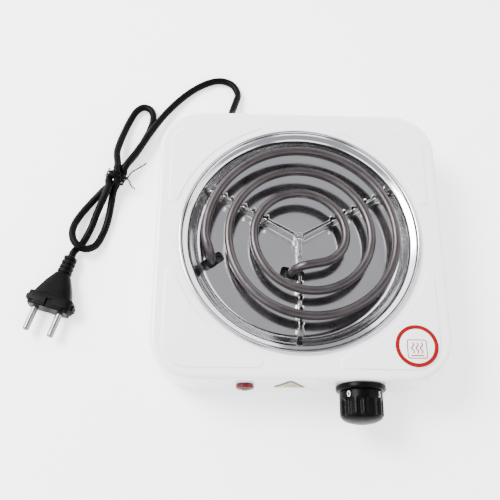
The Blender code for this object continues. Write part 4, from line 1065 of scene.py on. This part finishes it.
def build_knob():
    """The knob with its flange, neck line, fluted grip and rounded end, and the dial's numbers."""
    matrix = Matrix.Translation(KNOB_AXIS) @ FACE_FRONT
    back = KNOB_BACK
    profile = [(0, KNOB_LENGTH - 0.0042), (0.0033, KNOB_LENGTH - 0.0042), (0.0033, 0.0048), (0.0052, 0.0048),
               (0.0052, KNOB_LENGTH - 0.002), (KNOB_BARREL - 0.0020, KNOB_LENGTH - 0.002),
               (KNOB_BARREL - 0.0020, back)]
    profile += [(KNOB_FLANGE - 0.0006, back)]
    profile += arc(KNOB_FLANGE - 0.0006, back + 0.0006, 0.0006, -90, 0, 4)
    profile += arc(KNOB_FLANGE - 0.0014, back + 0.0024, 0.0014, 0, 90, 6)
    profile += [(KNOB_BARREL + 0.0006, back + 0.0039), (KNOB_BARREL + 0.0001, back + 0.0041)]
    profile += [(KNOB_BARREL - 0.0005, back + 0.0044), (KNOB_BARREL - 0.0005, back + 0.0049),
                (KNOB_BARREL, back + 0.0052)]
    z = back + 0.0060
    while z < KNOB_LENGTH - 0.0008:
        profile.append((KNOB_BARREL, z))
        z += 0.0006
    profile += arc(KNOB_BARREL - 0.0014, KNOB_LENGTH - 0.0004, 0.0014, 0, 62, 6)
    edge_r, edge_z = profile[-1]
    apex = KNOB_LENGTH + KNOB_DOME
    for step in range(1, 13):
        t = step / 12
        rise = (apex - edge_z) * math.sin(math.pi / 2 * t) ** 1.15
        profile.append((edge_r * math.cos(math.pi / 2 * t), edge_z + rise))
    profile[-1] = (0, apex)
    knob = lathe("fluted_knob", profile, KNOB_BLACK, matrix, steps=224, shape=fluted, sharp=55)
    settle(knob, "black_knob", "control_knob", body="knob")
    for number in range(6):
        angle = math.radians(-43 - 54 * number if number < 5 else 47)
        digit(str(number), angle, matrix)


def digit(text, angle, matrix):
    """One number laid round the barrel beside the flange."""
    data = bpy.data.curves.new("number_" + text, "FONT")
    data.body = text
    data.size = 0.0056
    data.align_x = "CENTER"
    data.align_y = "CENTER"
    data.offset = 0.00002
    data.resolution_u = 6
    helper = bpy.data.objects.new("number_helper", data)
    bpy.context.scene.collection.objects.link(helper)
    bpy.context.view_layer.update()
    mesh = bpy.data.meshes.new_from_object(helper.evaluated_get(bpy.context.evaluated_depsgraph_get()))
    bpy.data.objects.remove(helper)
    bm = bmesh.new()
    bm.from_mesh(mesh)
    bpy.data.meshes.remove(mesh)
    bmesh.ops.triangulate(bm, faces=bm.faces)
    bmesh.ops.subdivide_edges(bm, edges=[e for e in bm.edges if e.calc_length() > 0.0012], cuts=1)
    radius = KNOB_BARREL + 0.00008
    for vertex in bm.verts:
        turn = angle + vertex.co.x / radius
        vertex.co = Vector((radius * math.sin(turn), radius * math.cos(turn), 0.0080 - vertex.co.y))
    piece = place("dial_number_" + text, bm, DIAL_WHITE, matrix)
    settle(piece, "plated_strip", body="knob")


def build_lamp():
    """The red lens with its stepped face, and a near-black disc laid on the middle of its face."""
    matrix = Matrix.Translation(LAMP_AXIS) @ FACE_FRONT
    radius, proud = 0.0064, 0.0042
    profile = [(0, -0.0130), (0.0051, -0.0130), (0.0051, GAP), (radius - 0.0003, GAP)]
    profile += arc(radius - 0.0003, GAP + 0.0003, 0.0003, -90, 0, 2)
    profile += arc(radius - 0.0014, proud - 0.0022, 0.0014, 0, 70, 6)
    for ring in range(4):
        r = 0.0046 - 0.0009 * ring
        z = proud - 0.0009 + 0.00022 * ring
        profile += [(r, z), (r - 0.00015, z + 0.00025), (r - 0.00055, z + 0.00028), (r - 0.0007, z + 0.00005)]
    profile += [(0.0009, proud - 0.0001), (0, proud)]
    lens = lathe("ringed_lens", profile, LAMP_RED, matrix, steps=72, sharp=30)
    settle(lens, "red_lens", "indicator_lens", "neon_bulb")
    # A near-black disc laid on the middle of the lens face, standing just proud of it.
    core = lathe("lamp_core", [(0, proud + 0.00014), (0.0017, proud + 0.0001), (0.0024, proud - 0.0003),
                               (0.0024, proud - 0.0009), (0, proud - 0.0009)], DARK_LENS_DISC, matrix, steps=32)
    settle(core, "red_lens")


def ribbon(name, lines, width, z, material, matrix):
    """Flat lines of one width at one level, from lists of (x, y) points."""
    bm = bmesh.new()
    for line, closed in lines:
        points = [Vector(p) for p in line]
        count = len(points)
        edges = []
        for index, point in enumerate(points):
            before = points[(index - 1) % count] if closed or index else point
            after = points[(index + 1) % count] if closed or index < count - 1 else point
            along = (after - before).normalized()
            normal = Vector((-along.y, along.x)) * width / 2
            edges.append((bm.verts.new((*(point + normal), z)), bm.verts.new((*(point - normal), z))))
        span = count if closed else count - 1
        for index in range(span):
            a, b = edges[index], edges[(index + 1) % count]
            bm.faces.new((a[0], a[1], b[1], b[0]))
    return place(name, bm, material, matrix)


def heat_waves(spacing, swing, low, rise):
    """Three wavy upright lines for ribbon()."""
    lines = []
    for x in (-spacing, 0.0, spacing):
        line = [(x + swing * math.sin(2 * math.pi * t / 16), low + rise * t / 24) for t in range(25)]
        lines.append((line, False))
    return lines


def build_labels():
    """The round label with its ring and heat sign, and the triangle on the front."""
    middle = (label_low + label_high) / 2
    matrix = Matrix.Translation((middle.x, middle.y, label_low.z))
    wall = label_high.z - label_low.z
    radius = 0.0150
    disc = lathe("round_label_disc", [(0, 0), (radius - 0.0001, 0), (radius, 0.0001), (radius, wall - 0.0001),
                                      (radius - 0.0001, wall - 0.00006), (0, wall - 0.00006)],
                 LABEL_WHITE, matrix, steps=96)
    settle(disc, "round_label", "round_label")
    ring_line = arc(0, 0, radius - 0.0015, 0, 360 - 360 / 96, 95)
    waves = heat_waves(0.0030, 0.0008, -0.0052, 0.0074)
    frame_line = rounded(0.0052, 0.0050, 0.0014, y=-0.0022)
    bar = ([(-0.0044, -0.0068), (0.0044, -0.0068)], False)
    for name, lines, width in (("ring", [(ring_line, True)], 0.0028), ("sign", [*waves, bar], 0.0008),
                               ("frame", [(frame_line, True)], 0.00065)):
        piece = ribbon("round_label_" + name, lines, width, wall, LABEL_RED, matrix)
        settle(piece, "round_label")
    tri = (triangle_low + triangle_high) / 2
    depth = triangle_high.y - triangle_low.y
    width = triangle_high.x - triangle_low.x
    height = triangle_high.z - triangle_low.z
    matrix = Matrix.Translation((tri.x, triangle_high.y, triangle_low.z)) @ FACE_FRONT

    def triangle(inset, corner):
        grow = inset * 3 ** 0.5
        a, b, c = (-width / 2 + grow, inset), (width / 2 - grow, inset), (0, height - 2 * inset)
        points = []
        for point, before, after in ((a, c, b), (b, a, c), (c, b, a)):
            p, q, r = Vector(point), Vector(before), Vector(after)
            start, end = p + (q - p).normalized() * corner, p + (r - p).normalized() * corner
            for step in range(5):
                t = step / 4
                points.append(tuple(start * (1 - t) ** 2 + p * 2 * t * (1 - t) + end * t * t))
        return points

    border = prism("triangle_border", triangle(0, 0.0010), 0, depth - 0.00012, LABEL_GREY, matrix)
    settle(border, "triangle_label", "triangle_label")
    inside = prism("triangle_field", triangle(0.0010, 0.0007), 0.0001, depth - 0.00002, LABEL_YELLOW, matrix)
    settle(inside, "triangle_label")
    waves = heat_waves(0.0026, 0.0006, 0.0042, 0.0062)
    sign = ribbon("triangle_sign", waves, 0.0006, depth, LABEL_GREY, matrix)
    settle(sign, "triangle_label")


def build_feet():
    """Moulded rubber feet with a rounded edge and a screw well."""
    for name in ("front_left", "front_right", "rear_left", "rear_right"):
        low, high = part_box("foot_" + name)
        middle = (low + high) / 2
        height = high.z
        bore, well, r = 0.0023, 0.0042, 0.009
        profile = [(bore, height), (r - 0.0004, height)]
        profile += arc(r - 0.0004, height - 0.0004, 0.0004, 90, 0, 3)
        profile += [(r, height - 0.002), (r - 0.0006, height - 0.0026), (r - 0.0012, 0.0012)]
        profile += arc(r - 0.0024, 0.0012, 0.0012, 0, -90, 5)
        profile += [(well + 0.0003, 0), (well, 0.0003), (well, 0.0040), (bore, 0.0040)]
        foot = lathe("rubber_foot_" + name, profile, RUBBER, Matrix.Translation((middle.x, middle.y, 0)),
                     steps=48, closed=True)
        settle(foot, "black_rubber", "foot_" + name)


def dress_cad_nodes():
    """Procedural materials for the CAD nodes that stay in view."""
    label_looks = {"round_label": "label_white", "triangle_label": "label_yellow"}
    for part in frame["record"]["subparts"]:
        node = frame["nodes"][part["node"]]
        if not node.material_slots:
            node.data.materials.append(None)
        for slot in node.material_slots:
            slot.material = LOOKS[label_looks.get(part["material_slot"], part["material_slot"])]


# ------------------------------------------------------------ stage
def area_light(name, spot, size, power):
    """A square light aimed at the middle of the floor."""
    data = bpy.data.lights.new(name, "AREA")
    data.size = size
    data.energy = power
    light = bpy.data.objects.new(name, data)
    light.rotation_euler = (-Vector(spot)).to_track_quat("-Z", "Y").to_euler()
    light.location = spot
    bpy.context.scene.collection.objects.link(light)


def build_stage():
    """A plain pale floor and soft studio light."""
    bm = bmesh.new()
    bmesh.ops.create_grid(bm, x_segments=12, y_segments=12, size=3.0)
    floor = place("floor", bm, FLOOR, Matrix.Translation((0, 0, -0.0002)))
    world = bpy.data.worlds.new("studio")
    world.use_nodes = True
    bpy.context.scene.world = world
    world.node_tree.nodes["Background"].inputs["Color"].default_value = (0.90, 0.91, 0.94, 1)
    world.node_tree.nodes["Background"].inputs["Strength"].default_value = 0.80
    area_light("key", (-1.1, 0.5, 1.4), 0.8, 84)
    area_light("left", (-1.5, -0.7, 1.1), 1.6, 30)
    area_light("right", (1.5, -0.4, 1.0), 1.6, 26)
    area_light("front", (0.1, -1.6, 1.4), 1.2, 16)
    area_light("rear_left", (-1.1, 1.3, 0.8), 1.6, 34)
    area_light("rear_right", (1.1, 1.3, 0.8), 1.8, 34)


set_camera()
cord, cord_route, boot = build_cord()
tie = build_tie()
plug = build_plug()
build_shell()
build_pan()
build_coil()
build_support()
build_knob()
build_lamp()
build_labels()
build_feet()
dress_cad_nodes()
build_stage()
